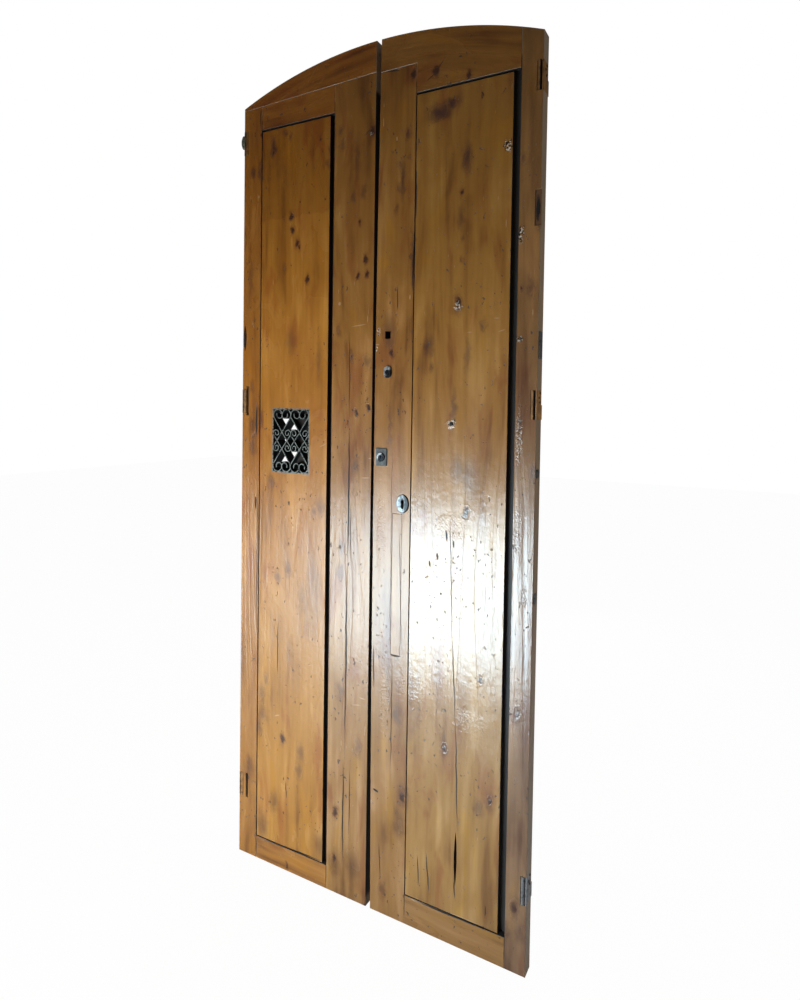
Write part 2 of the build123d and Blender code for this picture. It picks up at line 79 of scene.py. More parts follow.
def place_camera():
    """The photo's camera, turned left, tipped down a little and leaning a little."""
    yaw, pitch, roll = (math.radians(angle) for angle in (CAMERA_YAW, CAMERA_PITCH, CAMERA_ROLL))
    ahead = Vector((-math.sin(yaw) * math.cos(pitch), math.cos(yaw) * math.cos(pitch), -math.sin(pitch)))
    level_right = Vector((math.cos(yaw), math.sin(yaw), 0.0))
    level_down = ahead.cross(level_right)
    right = math.cos(roll) * level_right + math.sin(roll) * level_down
    down = math.cos(roll) * level_down - math.sin(roll) * level_right
    turn = Matrix((right, -down, -ahead)).transposed()
    data = bpy.data.cameras.new("viewpoint")
    data.sensor_fit = "VERTICAL"
    data.sensor_width = data.sensor_height = 36.0
    data.lens = CAMERA_LENS
    data.shift_y = CAMERA_SHIFT
    camera = bpy.data.objects.new("viewpoint", data)
    camera.matrix_world = Matrix.Translation(CAMERA_AT) @ turn.to_4x4()
    bpy.context.scene.collection.objects.link(camera)
    bpy.context.scene.camera = camera


def soft_light(name, centre, facing, width, height, watts, colour=(1.0, 1.0, 1.0), mirrored=False):
    """A broad lamp. A mirrored one shows in the varnish and metal and lights nothing else."""
    data = bpy.data.lights.new(name, "AREA")
    data.shape = "RECTANGLE"
    data.size = width
    data.size_y = height
    data.energy = watts
    data.color = colour
    light = bpy.data.objects.new(name, data)
    aimed = Vector(facing).to_track_quat("-Z", "Y").to_matrix().to_4x4()
    light.matrix_world = Matrix.Translation(centre) @ aimed
    light.visible_camera = False
    light.visible_glossy = mirrored
    light.visible_diffuse = not mirrored
    bpy.context.scene.collection.objects.link(light)


def white_room():
    """White behind the door, and a faint even light on it from all round."""
    world = bpy.data.worlds.new("white_room")
    world.use_nodes = True
    tree = world.node_tree
    background = tree.nodes["Background"]
    path = tree.nodes.new("ShaderNodeLightPath")
    strength = tree.nodes.new("ShaderNodeMapRange")
    strength.inputs["To Min"].default_value = ROOM_GLOW
    strength.inputs["To Max"].default_value = 1.0
    tree.links.new(path.outputs["Is Camera Ray"], strength.inputs["Value"])
    tree.links.new(strength.outputs["Result"], background.inputs["Strength"])
    background.inputs["Color"].default_value = (1.0, 1.0, 1.0, 1.0)
    bpy.context.scene.world = world


def pale_floor():
    """A plain floor that the camera sees as almost white."""
    mesh = bmesh.new()
    bmesh.ops.create_grid(mesh, x_segments=1, y_segments=1, size=FLOOR_REACH)
    floor = mesh_object(mesh, "pale_floor")
    material = bpy.data.materials.new("pale_floor")
    material.use_nodes = True
    tree = material.node_tree
    shader = tree.nodes["Principled BSDF"]
    shader.inputs["Base Color"].default_value = (0.80, 0.80, 0.80, 1.0)
    shader.inputs["Roughness"].default_value = 0.95
    shader.inputs["Specular IOR Level"].default_value = 0.0
    glow = tree.nodes.new("ShaderNodeEmission")
    path = tree.nodes.new("ShaderNodeLightPath")
    share = tree.nodes.new("ShaderNodeMath")
    share.operation = "MULTIPLY"
    share.inputs[1].default_value = FLOOR_GLOW
    blend = tree.nodes.new("ShaderNodeMixShader")
    tree.links.new(path.outputs["Is Camera Ray"], share.inputs[0])
    tree.links.new(share.outputs["Value"], blend.inputs["Fac"])
    tree.links.new(shader.outputs["BSDF"], blend.inputs[1])
    tree.links.new(glow.outputs["Emission"], blend.inputs[2])
    tree.links.new(blend.outputs["Shader"], tree.nodes["Material Output"].inputs["Surface"])
    floor.data.materials.append(material)


def light_the_door():
    """Two low windows that only show in the varnish, and soft lamps all round."""
    white_room()
    pale_floor()
    inward = (0.0, 1.0, 0.0)
    soft_light("low_window", (-0.597, -1.635, 0.48), inward, 1.2, 0.84, 60.0, WINDOW_BLUE, mirrored=True)
    soft_light("side_window", (-1.564, -1.635, 0.44), inward, 0.70, 0.88, 9.5, PALE_SKY, mirrored=True)
    soft_light("low_soft", (-0.75, -1.8, 0.48), inward, 1.4, 0.9, 34.0)
    soft_light("ceiling", (0.0, 0.6, 3.6), (0.0, 0.0, -1.0), 4.0, 3.0, 20.0)
    soft_light("front_fill", (1.2, -3.2, 1.3), (-0.3, 1.0, 0.0), 2.4, 2.0, 9.0)
    soft_light("right_fill", (2.4, 0.5, 1.5), (-1.0, -0.2, 0.0), 0.7, 2.4, 16.0)
    soft_light("back_fill", (-0.8, 3.0, 1.6), (0.2, -1.0, -0.1), 2.4, 2.4, 40.0)


# Helpers for meshes and shader nodes


def mesh_object(mesh, name):
    """A finished bmesh as an object of the scene."""
    data = bpy.data.meshes.new(name)
    mesh.to_mesh(data)
    mesh.free()
    thing = bpy.data.objects.new(name, data)
    bpy.context.scene.collection.objects.link(thing)
    return thing


def paint(code):
    """A hex colour as the light it gives back."""
    parts = [int(code[i:i + 2], 16) / 255 for i in (1, 3, 5)]
    linear = [c / 12.92 if c <= 0.04045 else ((c + 0.055) / 1.055) ** 2.4 for c in parts]
    return tuple(linear) + (1.0,)


class Nodes:
    """A material or group under construction: adds nodes and links them in one step."""

    def __init__(self, tree):
        self.tree = tree

    def add(self, kind, values=(), **settings):
        node = self.tree.nodes.new("ShaderNode" + kind)
        for key, value in settings.items():
            setattr(node, key, value)
        for socket, value in dict(values).items():
            self.feed(node.inputs[socket], value)
        return node

    def feed(self, socket, value):
        if isinstance(value, bpy.types.NodeSocket):
            self.tree.links.new(value, socket)
        else:
            socket.default_value = value

    def math(self, operation, a, b=0.0):
        node = self.add("Math", operation=operation)
        self.feed(node.inputs[0], a)
        self.feed(node.inputs[1], b)
        return node.outputs["Value"]

    def plus(self, a, b):
        return self.math("ADD", a, b)

    def minus(self, a, b):
        return self.math("SUBTRACT", a, b)

    def times(self, a, b):
        return self.math("MULTIPLY", a, b)

    def more(self, value, mask, amount):
        """A value with an amount added where the mask is 1."""
        return self.plus(value, self.times(mask, amount))

    def axes(self, place):
        """The X, Y and Z of a place."""
        split = self.add("SeparateXYZ", {"Vector": place})
        return split.outputs["X"], split.outputs["Y"], split.outputs["Z"]

    def blend(self, share, a, b, how="MIX"):
        node = self.add("Mix", data_type="RGBA", blend_type=how)
        self.feed(node.inputs["Factor"], share)
        self.feed(node.inputs[6], a)
        self.feed(node.inputs[7], b)
        return node.outputs[2]

    def ramp(self, value, low, high, out_low=0.0, out_high=1.0):
        """A soft step between two values."""
        node = self.add(
            "MapRange",
            {"Value": value, "From Min": low, "From Max": high, "To Min": out_low, "To Max": out_high},
            interpolation_type="SMOOTHSTEP",
        )
        return node.outputs["Result"]

    def noise(self, place, scale, detail=2.0, rough=0.5, twist=0.0):
        node = self.add(
            "TexNoise",
            {"Vector": place, "Scale": scale, "Detail": detail, "Roughness": rough, "Distortion": twist},
        )
        return node.outputs["Fac"]

    def relief(self, shader, height, strength, depth):
        """Bumps on the surface of a shader's material."""
        bump = self.add("Bump", {"Height": height, "Strength": strength, "Distance": depth})
        self.feed(shader.inputs["Normal"], bump.outputs["Normal"])

    def stretch(self, place, scale, shift=(0.0, 0.0, 0.0), turn=(0.0, 0.0, 0.0)):
        node = self.add("Mapping", {"Vector": place, "Location": shift, "Rotation": turn, "Scale": scale})
        return node.outputs["Vector"]


def new_group(name, inputs, outputs):
    """An empty shader node group with its named inputs and outputs."""
    tree = bpy.data.node_groups.new(name, "ShaderNodeTree")
    for label, kind, value in inputs:
        socket = tree.interface.new_socket(label, in_out="INPUT", socket_type="NodeSocket" + kind)
        if value is not None:
            socket.default_value = value
    for label, kind in outputs:
        tree.interface.new_socket(label, in_out="OUTPUT", socket_type="NodeSocket" + kind)
    entry = tree.nodes.new("NodeGroupInput")
    leave = tree.nodes.new("NodeGroupOutput")
    return Nodes(tree), entry.outputs, leave.inputs


def use_group(nodes, group, values):
    """Places a group in a material and gives its outputs."""
    node = nodes.add("Group", node_tree=group)
    for socket, value in values.items():
        nodes.feed(node.inputs[socket], value)
    return node.outputs


# Wood effects, shared by the boards


def shaken(nodes, place, texture, reach):
    """A place moved about by a coloured noise, so that what is drawn there gets an uneven outline."""
    colour = nodes.add("TexNoise", texture).outputs["Color"]
    centred = nodes.add("VectorMath", {0: colour, 1: (0.5, 0.5, 0.5)}, operation="SUBTRACT")
    sized = nodes.add("VectorMath", {0: centred.outputs["Vector"], "Scale": reach}, operation="SCALE")
    moved = nodes.add("VectorMath", {0: place, 1: sized.outputs["Vector"]}, operation="ADD")
    return moved.outputs["Vector"]


def pine_grain_group():
    """Old pine: fine fibres, broad streaks along the grain, and cloudy patches of varnish."""
    nodes, given, result = new_group(
        "pine_grain",
        [("Place", "Vector", None)] + [(tone, "Color", None) for tone in ("Pale", "Honey", "Dark")],
        [("Colour", "Color"), ("Height", "Float"), ("Roughness", "Float")],
    )
    place = given["Place"]
    sway = {"Vector": nodes.stretch(place, (2.5, 2.5, 0.9)), "Scale": 2.0, "Detail": 1.0}
    bent = shaken(nodes, place, sway, GRAIN_SWAY)
    fibre = nodes.noise(nodes.stretch(bent, (300.0, 300.0, 5.0)), 1.0, 3.0, 0.6)
    streak = nodes.noise(nodes.stretch(bent, (36.0, 36.0, 2.4)), 1.0, 2.0, 0.5)
    cloud = nodes.noise(nodes.stretch(bent, (9.0, 9.0, 3.0)), 1.0, 3.0, 0.55, 0.8)
    growth = nodes.noise(nodes.stretch(bent, (6.0, 6.0, 0.42)), 1.0, 1.0, 0.4)
    ring = nodes.ramp(nodes.math("SINE", nodes.times(growth, RINGS)), 0.2, 1.0)
    tone = nodes.more(nodes.times(streak, 0.42), cloud, 0.53)
    tone = nodes.more(tone, fibre, 0.05)
    tone = nodes.more(tone, ring, -0.03)
    deep = nodes.blend(nodes.ramp(tone, 0.30, 0.50), given["Dark"], given["Honey"])
    colour = nodes.blend(nodes.ramp(tone, 0.48, 0.70), deep, given["Pale"])
    warmth = nodes.noise(nodes.stretch(bent, (13.0, 13.0, 3.6), (5.0, 2.0, 8.0)), 1.0, 3.0, 0.6, 0.5)
    colour = nodes.blend(nodes.ramp(warmth, 0.52, 0.68, 0.0, 0.85), colour, RUSSET, "MULTIPLY")
    colour = nodes.blend(nodes.ramp(warmth, 0.30, 0.45, 0.8, 0.0), colour, GOLDEN, "MULTIPLY")
    nodes.feed(result["Colour"], colour)
    ridge = nodes.noise(nodes.stretch(bent, (120.0, 120.0, 9.0)), 1.0, 3.0, 0.65)
    height = nodes.more(nodes.times(ridge, 1.4), streak, 0.6)
    height = nodes.more(height, fibre, 0.3)
    nodes.feed(result["Height"], nodes.more(height, ring, -RING_HEIGHT))
    nodes.feed(result["Roughness"], nodes.ramp(cloud, 0.3, 0.7, -0.03, 0.05))
    return nodes.tree


def as_spot(x, z, half_width, half_length=0.0, strength=SPOT_STRENGTH):
    """A spot written short, with what it leaves out filled in."""
    return x, z, half_width, half_length or half_width * SPOT_STRETCH, 0.0, strength


def as_knot(x, z, half_width, half_length=0.0, strength=KNOT_STRENGTH):
    return as_spot(x, z, half_width, half_length, strength)


def as_line(x, z, half_width, half_length, lean=0.0, strength=1.0):
    return x, z, half_width, half_length, lean, strength


def spots_mask(nodes, place, spots, soft):
    """The strongest of many soft upright spots."""
    strongest = 0.0
    for x, z, half_width, half_length, _, strength in spots:
        centred = nodes.add("VectorMath", {0: place}, operation="MULTIPLY_ADD")
        centred.inputs[1].default_value = (1000 / half_width, 0.0, 1000 / half_length)
        centred.inputs[2].default_value = (-x / half_width, 0.0, -z / half_length)
        reach = nodes.add("VectorMath", {0: centred.outputs["Vector"]}, operation="LENGTH")
        spot = nodes.ramp(reach.outputs["Value"], soft, 1.0, strength, 0.0)
        strongest = nodes.math("MAXIMUM", strongest, spot)
    return strongest


def lines_mask(nodes, place, lines, soft):
    """The strongest of many tapering lines, each leaning by some degrees towards +X."""
    strongest = 0.0
    for x, z, half_width, half_length, lean, strength in lines:
        mapped = nodes.add("Mapping", {"Vector": place}, vector_type="TEXTURE")
        mapped.inputs["Location"].default_value = (x / 1000, 0.0, z / 1000)
        mapped.inputs["Rotation"].default_value = (0.0, math.radians(lean), 0.0)
        mapped.inputs["Scale"].default_value = (half_width / 1000, 1000.0, half_length / 1000)
        reach = nodes.add("VectorMath", {0: mapped.outputs["Vector"]}, operation="LENGTH")
        line = nodes.ramp(reach.outputs["Value"], soft, 1.0, strength, 0.0)
        strongest = nodes.math("MAXIMUM", strongest, line)
    return strongest


def on_board(board, marks):
    """The marks that lie on one board."""
    low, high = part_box(board)
    chosen = []
    for mark in marks:
        x, z, half_width, half_length, lean, _ = mark
        turned = math.radians(lean)
        reach_x = (half_width * abs(math.cos(turned)) + half_length * abs(math.sin(turned))) / 1000
        reach_z = (half_width * abs(math.sin(turned)) + half_length * abs(math.cos(turned))) / 1000
        if low.x - reach_x < x / 1000 < high.x + reach_x and low.z - reach_z < z / 1000 < high.z + reach_z:
            chosen.append(mark)
    return chosen


def board_marks_group(board, stains, knots, chips_and_glints, cracks, scratches):
    """The marks on one board's front: stains, knots, bright chip marks that are partly painted highlights and
    painted shadows of dents, and cracks and pale scratches.
    """
    nodes, given, result = new_group(
        board + "_marks",
        [("Place", "Vector", None)],
        [(mark, "Float") for mark in ("Stain", "Knot", "ChipAndGlint", "Crack", "Scratch")],
    )
    place = given["Place"]
    _, depth, _ = nodes.axes(place)
    front_only = nodes.ramp(depth, *MARKS_END, 1.0, 0.0)

    def wobbled(scale, reach):
        return shaken(nodes, place, {"Vector": place, "Scale": scale, "Detail": 3.0, "Roughness": 0.6}, reach)

    wide = wobbled(38.0, 0.034)
    slight = wobbled(14.0, 0.007)
    for label, shape, read, marks, where, soft in (
        ("Stain", spots_mask, as_spot, stains, wide, 0.0),
        ("Knot", spots_mask, as_knot, knots, wobbled(60.0, 0.024), 0.1),
        ("ChipAndGlint", spots_mask, as_spot, chips_and_glints, wobbled(110.0, 0.030), 0.5),
        ("Crack", lines_mask, as_line, cracks, slight, 0.45),
        ("Scratch", lines_mask, as_line, scratches, slight, 0.35),
    ):
        chosen = on_board(board, [read(*mark) for mark in marks])
        if chosen:
            nodes.feed(result[label], nodes.times(shape(nodes, where, chosen, soft), front_only))
    return nodes.tree


def depth_group():
    """Where a board turns away from its face: painted shade on the faces set back inside the leaf, in its
    gaps, grooves and recesses, and its grimy outer edges.
    """
    nodes, given, result = new_group(
        "recess_shade_and_edges",
        [("Place", "Vector", None), ("Face", "Float", LEAF_FRONT), ("Back", "Float", LEAF_BACK)],
        [("RecessShade", "Float"), ("Edge", "Float")],
    )
    sideways, depth, height = nodes.axes(given["Place"])
    off_front = nodes.ramp(nodes.minus(depth, given["Face"]), 0.00005, 0.0005)
    off_back = nodes.ramp(nodes.minus(given["Back"], depth), 0.0010, 0.0040)
    between = nodes.times(off_front, off_back)
    side = nodes.ramp(nodes.math("ABSOLUTE", sideways), *EDGE_SIDES)
    above = nodes.ramp(height, *EDGE_TOP)
    below = nodes.ramp(height, *EDGE_FOOT, 1.0, 0.0)
    outside = nodes.math("MAXIMUM", nodes.math("MAXIMUM", side, above), below)
    nodes.feed(result["Edge"], nodes.times(between, outside))
    # Painted shade: every set-back face away from the outer edges is darkened
    nodes.feed(result["RecessShade"], nodes.times(between, nodes.minus(1.0, outside)))
    return nodes.tree


def wear_group():
    """Specks, pale scuffs, small dents and broad waves of an old varnished surface."""
    nodes, given, result = new_group(
        "small_wear",
        [("Place", "Vector", None)],
        [(kind, "Float") for kind in ("Speck", "Scuff", "Dent", "Wave")],
    )
    place = given["Place"]
    grit = nodes.noise(nodes.stretch(place, (95.0, 95.0, 60.0)), 1.0, 2.0, 0.6)
    patch = nodes.noise(place, 5.5, 2.0, 0.5)
    speck = nodes.times(nodes.ramp(grit, 0.67, 0.71), nodes.ramp(patch, 0.42, 0.56))
    nodes.feed(result["Speck"], speck)
    rub = nodes.noise(nodes.stretch(place, (120.0, 120.0, 14.0), (3.0, 1.0, 2.0)), 1.0, 3.0, 0.65)
    where = nodes.noise(nodes.stretch(place, (1.0, 1.0, 1.0), (7.0, 0.0, 4.0)), 7.0, 2.0, 0.5)
    scuff = nodes.times(nodes.ramp(rub, 0.66, 0.74), nodes.ramp(where, 0.50, 0.66))
    nodes.feed(result["Scuff"], scuff)
    nodes.feed(result["Dent"], nodes.noise(place, 55.0, 3.0, 0.55))
    nodes.feed(result["Wave"], nodes.noise(nodes.stretch(place, (9.0, 9.0, 5.0)), 1.0, 2.0, 0.5))
    return nodes.tree


# Marks measured on the door, in millimetres. Spots are (x, z, half width) and, where it differs, half
# length and strength; lines are (x, z, half width, half length) and, where they lean, the degrees.
LEFT_STAINS = [
    (-376, 2316, 16, 54, 1.0), (-309, 2338, 11), (-330, 2352, 14, 14, 0.8), (-458, 2248, 20, 30, 0.8),
    (-427, 2243, 13, 60, 0.7), (-462, 1900, 16, 120, 0.5), (-150, 2150, 16, 90, 0.5),
    (-60, 2230, 16, 80, 0.5), (-300, 1700, 30, 60, 0.45), (-190, 1640, 18, 110, 0.45),
    (-420, 1460, 14, 60, 0.7), (-250, 900, 24, 80, 0.4), (-114, 2320, 13), (-112, 2275, 15),
    (-35, 2129, 17), (-165, 2230, 14), (-160, 2270, 11), (-179, 1186, 26), (-205, 1170, 16),
    (-50, 1323, 18), (-300, 978, 20), (-344, 949, 17), (-99, 1075, 20), (-101, 1000, 22), (-401, 560, 24),
    (-398, 490, 24), (-413, 441, 22), (-385, 606, 17), (-450, 300, 30), (-397, 118, 40), (-453, 1430, 22),
    (-450, 1370, 24), (-245, 400, 26), (-250, 345, 24), (-172, 130, 40), (-46, 110, 44), (-111, 95, 34),
    (-117, 1728, 14), (-71, 1649, 14), (-16, 1630, 17), (-376, 1255, 22), (-70, 2120, 12),
    (-455, 1560, 18), (-330, 1930, 14), (-350, 215, 30), (-98, 640, 22), (-30, 480, 24),
]
LEFT_KNOTS = [
    (-422, 2362, 9), (-376, 2298, 9), (-7, 2297, 19), (-302, 2090, 15), (-298, 2043, 15),
    (-279, 2004, 15), (-238, 1890, 15), (-47, 2040, 11), (-26, 1930, 15), (-52, 1884, 11),
    (-20, 1887, 11), (-11, 1496, 11), (-52, 1483, 11), (-110, 257, 19), (-111, 113, 13), (-292, 23, 11),
    (-317, 429, 18), (-270, 1991, 9), (-72, 1647, 8), (-462, 262, 14),
]
# Chip marks, partly painted glints: white flecks stand in for highlights on dents and edges
LEFT_CHIPS_AND_GLINTS = [(-452, 1758, 8), (-12, 2290, 6), (-300, 2088, 4)]
LEFT_CRACKS = [
    (-427, 2414, 2.0, 38), (-74, 1249, 3.0, 240), (-77, 733, 3.2, 330), (-81, 269, 2.8, 190),
    (-77, 1593, 1.5, 150, -1), (-434, 1450, 3.6, 68), (-435, 1181, 4.0, 27, 2), (-428, 1008, 1.8, 300),
    (-464, 232, 3.0, 40, 3), (-340, 713, 2.2, 100), (-277, 81, 2.6, 150, 88), (-420, 42, 2.1, 34),
    (-300, 268, 1.8, 34, -3), (-58, 303, 1.6, 120), (-66, 1130, 1.4, 90), (-24, 2297, 1.5, 14, 50),
]
LEFT_SCRATCHES = [
    (-46, 1739, 2.1, 32, 83), (-16, 1757, 1.7, 14), (-432, 2167, 2.9, 7), (-172, 1380, 2.3, 18, 68),
    (-16, 1289, 2.1, 19, 86), (-341, 500, 2.8, 15, 70), (-116, 1806, 6.0, 7), (0, 1349, 2.0, 9, 87),
    (-18, 631, 2.8, 14, -85), (-36, 607, 2.1, 18, 77), (-387, 941, 5.0, 41, 2), (-447, 1180, 3.4, 57),
]
RIGHT_STAINS = [
    (206, 2310, 64, 38, 1.0), (240, 2324, 36, 28, 1.0), (262, 2332, 20), (290, 2173, 22, 66, 0.9),
    (109, 2269, 14, 26, 0.9), (95, 2142, 13, 84, 0.75), (128, 1928, 9, 120, 0.8),
    (275, 2016, 18, 60, 0.6), (182, 1671, 26, 22, 0.7), (262, 1500, 14, 90, 0.55),
    (64, 1440, 10, 120, 0.5), (300, 1640, 14, 80, 0.45), (448, 2142, 11), (493, 1976, 18),
    (279, 2010, 11), (279, 1960, 12), (280, 1900, 10), (271, 1782, 24), (344, 1722, 15), (185, 1671, 26),
    (192, 1612, 11), (470, 1811, 20), (56, 1722, 34), (60, 1690, 26), (309, 1311, 44), (279, 1331, 34),
    (122, 385, 30), (113, 290, 34), (98, 607, 20), (252, 551, 26), (387, 444, 22), (356, 417, 22),
    (460, 696, 24), (462, 182, 28), (480, 120, 28), (60, 78, 22), (492, 1334, 18), (440, 110, 24),
    (88, 2180, 14), (86, 2120, 15), (75, 2060, 12), (120, 2200, 10),
]
RIGHT_KNOTS = [
    (122, 2430, 17), (193, 2422, 18), (291, 2389, 15), (275, 2082, 11), (66, 1655, 13), (305, 1216, 17),
    (122, 375, 19), (252, 551, 13), (387, 444, 10), (462, 182, 15), (354, 768, 11), (448, 1679, 7),
    (447, 1810, 6), (271, 1790, 12), (460, 700, 14), (330, 2330, 7),
]
# Chip marks, partly painted glints and shadows of dents where the low window light catches them
RIGHT_CHIPS_AND_GLINTS = [
    (404, 2183, 16, 22, 1.0), (152, 640, 4), (20, 330, 4), (306, 1218, 10), (271, 1777, 13, 20, 0.7),
    (256, 1456, 15, 16, 0.8), (450, 1430, 9, 90, 0.6), (444, 1948, 8, 34, 0.8), (22, 1716, 5, 16, 0.9),
    (447, 1684, 9, 9, 0.7), (452, 1180, 14, 110, 0.5), (16, 1668, 5, 8, 0.8), (262, 1170, 60, 50, 0.45),
    (330, 640, 60, 40, 0.4), (150, 700, 60, 60, 0.35), (60, 640, 16, 160, 0.45),
    (40, 1120, 16, 160, 0.35), (470, 1010, 8, 30, 0.6), (250, 1010, 70, 140, 0.3),
]
RIGHT_CRACKS = [
    (58, 2455, 2.2, 30, -86), (136, 2110, 2.4, 100, -1), (133, 1920, 2.8, 120, 2), (83, 1811, 1.4, 42),
    (264, 1027, 1.3, 180, -2), (277, 751, 1.7, 120, -3), (290, 482, 2.0, 180, -2),
    (289, 165, 2.0, 32, -7), (74, 1097, 1.6, 350, 0, 0.35), (106, 981, 1.8, 205, -2, 0.3),
    (92, 781, 2.8, 18, 88), (176, 176, 1.8, 52, -2), (206, 183, 2.2, 70, -5), (381, 140, 1.9, 20),
    (291, 90, 3.0, 155, 89), (34, 368, 4.0, 13, -76), (20, 732, 2.2, 70, -2), (50, 164, 1.6, 62, -3),
    (82, 598, 1.6, 180), (248, 1147, 3.2, 17, -6), (270, 1127, 2.8, 11, -5), (221, 1086, 3.4, 10, -6),
    (197, 1064, 3.0, 10, -6), (235, 984, 3.4, 3.4), (208, 2436, 1.4, 20, 40), (180, 2410, 1.4, 18, 60),
]
RIGHT_SCRATCHES = [
    (73, 2260, 2.3, 9), (306, 1705, 1.7, 10, -88), (396, 1705, 2.0, 13, 75), (383, 1739, 1.7, 11, -87),
    (402, 1985, 1.6, 15), (442, 1931, 1.8, 9), (480, 1749, 1.8, 11), (26, 1719, 2.3, 15),
    (17, 1680, 2.7, 10, -88), (123, 1811, 3.2, 9), (190, 1242, 3.7, 14, -14), (217, 1283, 2.8, 11, -17),
    (445, 1413, 2.7, 20, -9), (453, 1404, 1.9, 16, -11), (14, 332, 2.4, 8, 85), (275, 93, 2.2, 120, 88),
]


# Finishes

# Painted light by height: bluer window light at the foot, warmer in the middle, painted shade at the top
WINDOW_LIGHT_TINT = (0.90, 1.02, 1.40, 1.0)
MIDDLE_LIGHT_TINT = (1.0, 0.94, 0.80, 1.0)
TOP_SHADE_TINT = (0.60, 0.52, 0.34, 1.0)
# Black for dirt, specks and cracks, and for painted shade in hinge slots, on the plate's rim and in dents
SOOT_AND_SHADE = paint("#120a06")
PALE_SCUFF = paint("#cfae86")
PURPLE_STAIN = paint("#4a2a1e")
KNOT_BROWN = paint("#2b1813")
KNOT_RED = paint("#6e4120")
# White of bare chips, and of painted highlights on dents
BARE_CHIP_AND_GLINT = paint("#e3dfd2")
EDGE_GRIME = paint("#857a68")
OLDER_VARNISH = (0.80, 0.76, 0.62, 1.0)
TONE_LINE = 2.100
GRAIN_HEIGHT = 0.8
WAVE_HEIGHT = 2.4
PIT_DEPTH = 2.5
CRACK_DEPTH = 4.0
FLAKE_HEIGHT = 3.0
KNOT_RIPPLES = 9.0
RIPPLE_HEIGHT = 0.4
DULLEST = 0.95
# Near-black painted shade for faces set back in gaps, grooves and recesses
RECESS_SHADE_BLACK = paint("#0b0705")
OLD_IRON = (paint("#2b2622"), paint("#15110e"))
VARNISH_COAT = 0.35
VARNISH_DULLNESS = 0.42

# Where the hinges' slots are painted as black shade, from the door's middle, and the painted shade and dirt
# round the keyhole, in metres
SLOT_NEAR = 0.4865
SLOT_FAR = 0.4910
KEYHOLE_HALF_LENGTH = 0.0085
KEYHOLE_SHADE_AND_DIRT = (0.0042, 0.0062)
SHADOW_RIM_ASIDE = 0.0022


def fresh_material(name):
    """A new material, with its nodes, its shader and the place on the object."""
    material = bpy.data.materials.new(name)
    material.use_nodes = True
    nodes = Nodes(material.node_tree)
    shader = material.node_tree.nodes["Principled BSDF"]
    place = nodes.add("TexCoord").outputs["Object"]
    return material, nodes, shader, place


def laid_along(nodes, place, along, seed):
    """Where the grain is drawn: up the board, across it or round the arch, and elsewhere on each board."""
    shift = (seed * 1.37, seed * 0.61, seed * 2.13)
    if along == "arched":
        sideways, depth, height = nodes.axes(place)
        rise = nodes.minus(height, ARCH_CENTRE_Z)
        spoke = nodes.math("SQRT", nodes.plus(nodes.times(rise, rise), nodes.times(sideways, sideways)))
        round_it = nodes.times(nodes.math("ARCTAN2", sideways, rise), ARCH_RADIUS)
        place = nodes.add("CombineXYZ", {"X": spoke, "Y": depth, "Z": round_it}).outputs["Vector"]
    turn = (0.0, math.radians(90), 0.0) if along == "across" else (0.0, 0.0, 0.0)
    return nodes.stretch(place, (1.0, 1.0, 1.0), shift, turn)


def painted_shade_above(nodes, height, below):
    """The painted shade that darkens a leaf towards its top."""
    return nodes.blend(nodes.ramp(height, 1.5, 2.5), below, TOP_SHADE_TINT)


def old_varnish(nodes, place, height, colour):
    """The left panel's darker old varnish, which ends in a ragged line."""
    ragged = nodes.times(nodes.noise(nodes.stretch(place, (30.0, 1.0, 1.0)), 1.0), 0.03)
    above = nodes.ramp(nodes.plus(height, ragged), TONE_LINE, TONE_LINE + 0.006)
    return nodes.blend(nodes.times(above, 0.7), colour, OLDER_VARNISH, "MULTIPLY")


def marked(nodes, marks, place, colour, relief, rough):
    """One board's own stains, knots, scratches, cracks and chip marks, whose white and black flecks are
    partly painted highlights and painted shadows of dents, laid over its wood.
    """
    seen = use_group(nodes, marks, {"Place": place})
    colour = nodes.blend(seen["Stain"], colour, PURPLE_STAIN)
    colour = nodes.blend(seen["Knot"], colour, KNOT_RED)
    colour = nodes.blend(nodes.ramp(seen["Knot"], 0.35, 0.9, 0.0, 0.9), colour, KNOT_BROWN)
    colour = nodes.blend(nodes.times(seen["Scratch"], 0.6), colour, PALE_SCUFF)
    # Chip flecks: bare wood and dirt, and painted highlights and painted shadows of dents
    flake = nodes.noise(place, 190.0, 2.0, 0.6)
    glint_and_chip_colour = nodes.blend(nodes.ramp(flake, 0.50, 0.56), SOOT_AND_SHADE, BARE_CHIP_AND_GLINT)
    glint_and_chip_share = nodes.ramp(nodes.math("ABSOLUTE", nodes.minus(flake, 0.5)), 0.02, 0.09)
    glint_and_chip_share = nodes.times(glint_and_chip_share, nodes.ramp(seen["ChipAndGlint"], 0.45, 0.75))
    colour = nodes.blend(glint_and_chip_share, colour, glint_and_chip_colour)
    colour = nodes.blend(seen["Crack"], colour, SOOT_AND_SHADE)
    relief = nodes.more(relief, seen["Crack"], -CRACK_DEPTH)
    relief = nodes.more(relief, nodes.times(flake, seen["ChipAndGlint"]), FLAKE_HEIGHT)
    swollen = nodes.math("SINE", nodes.times(seen["Knot"], KNOT_RIPPLES))
    relief = nodes.more(relief, swollen, RIPPLE_HEIGHT)
    rough = nodes.more(rough, seen["Crack"], 0.7)
    rough = nodes.more(rough, seen["Stain"], 0.10)
    return colour, relief, rough


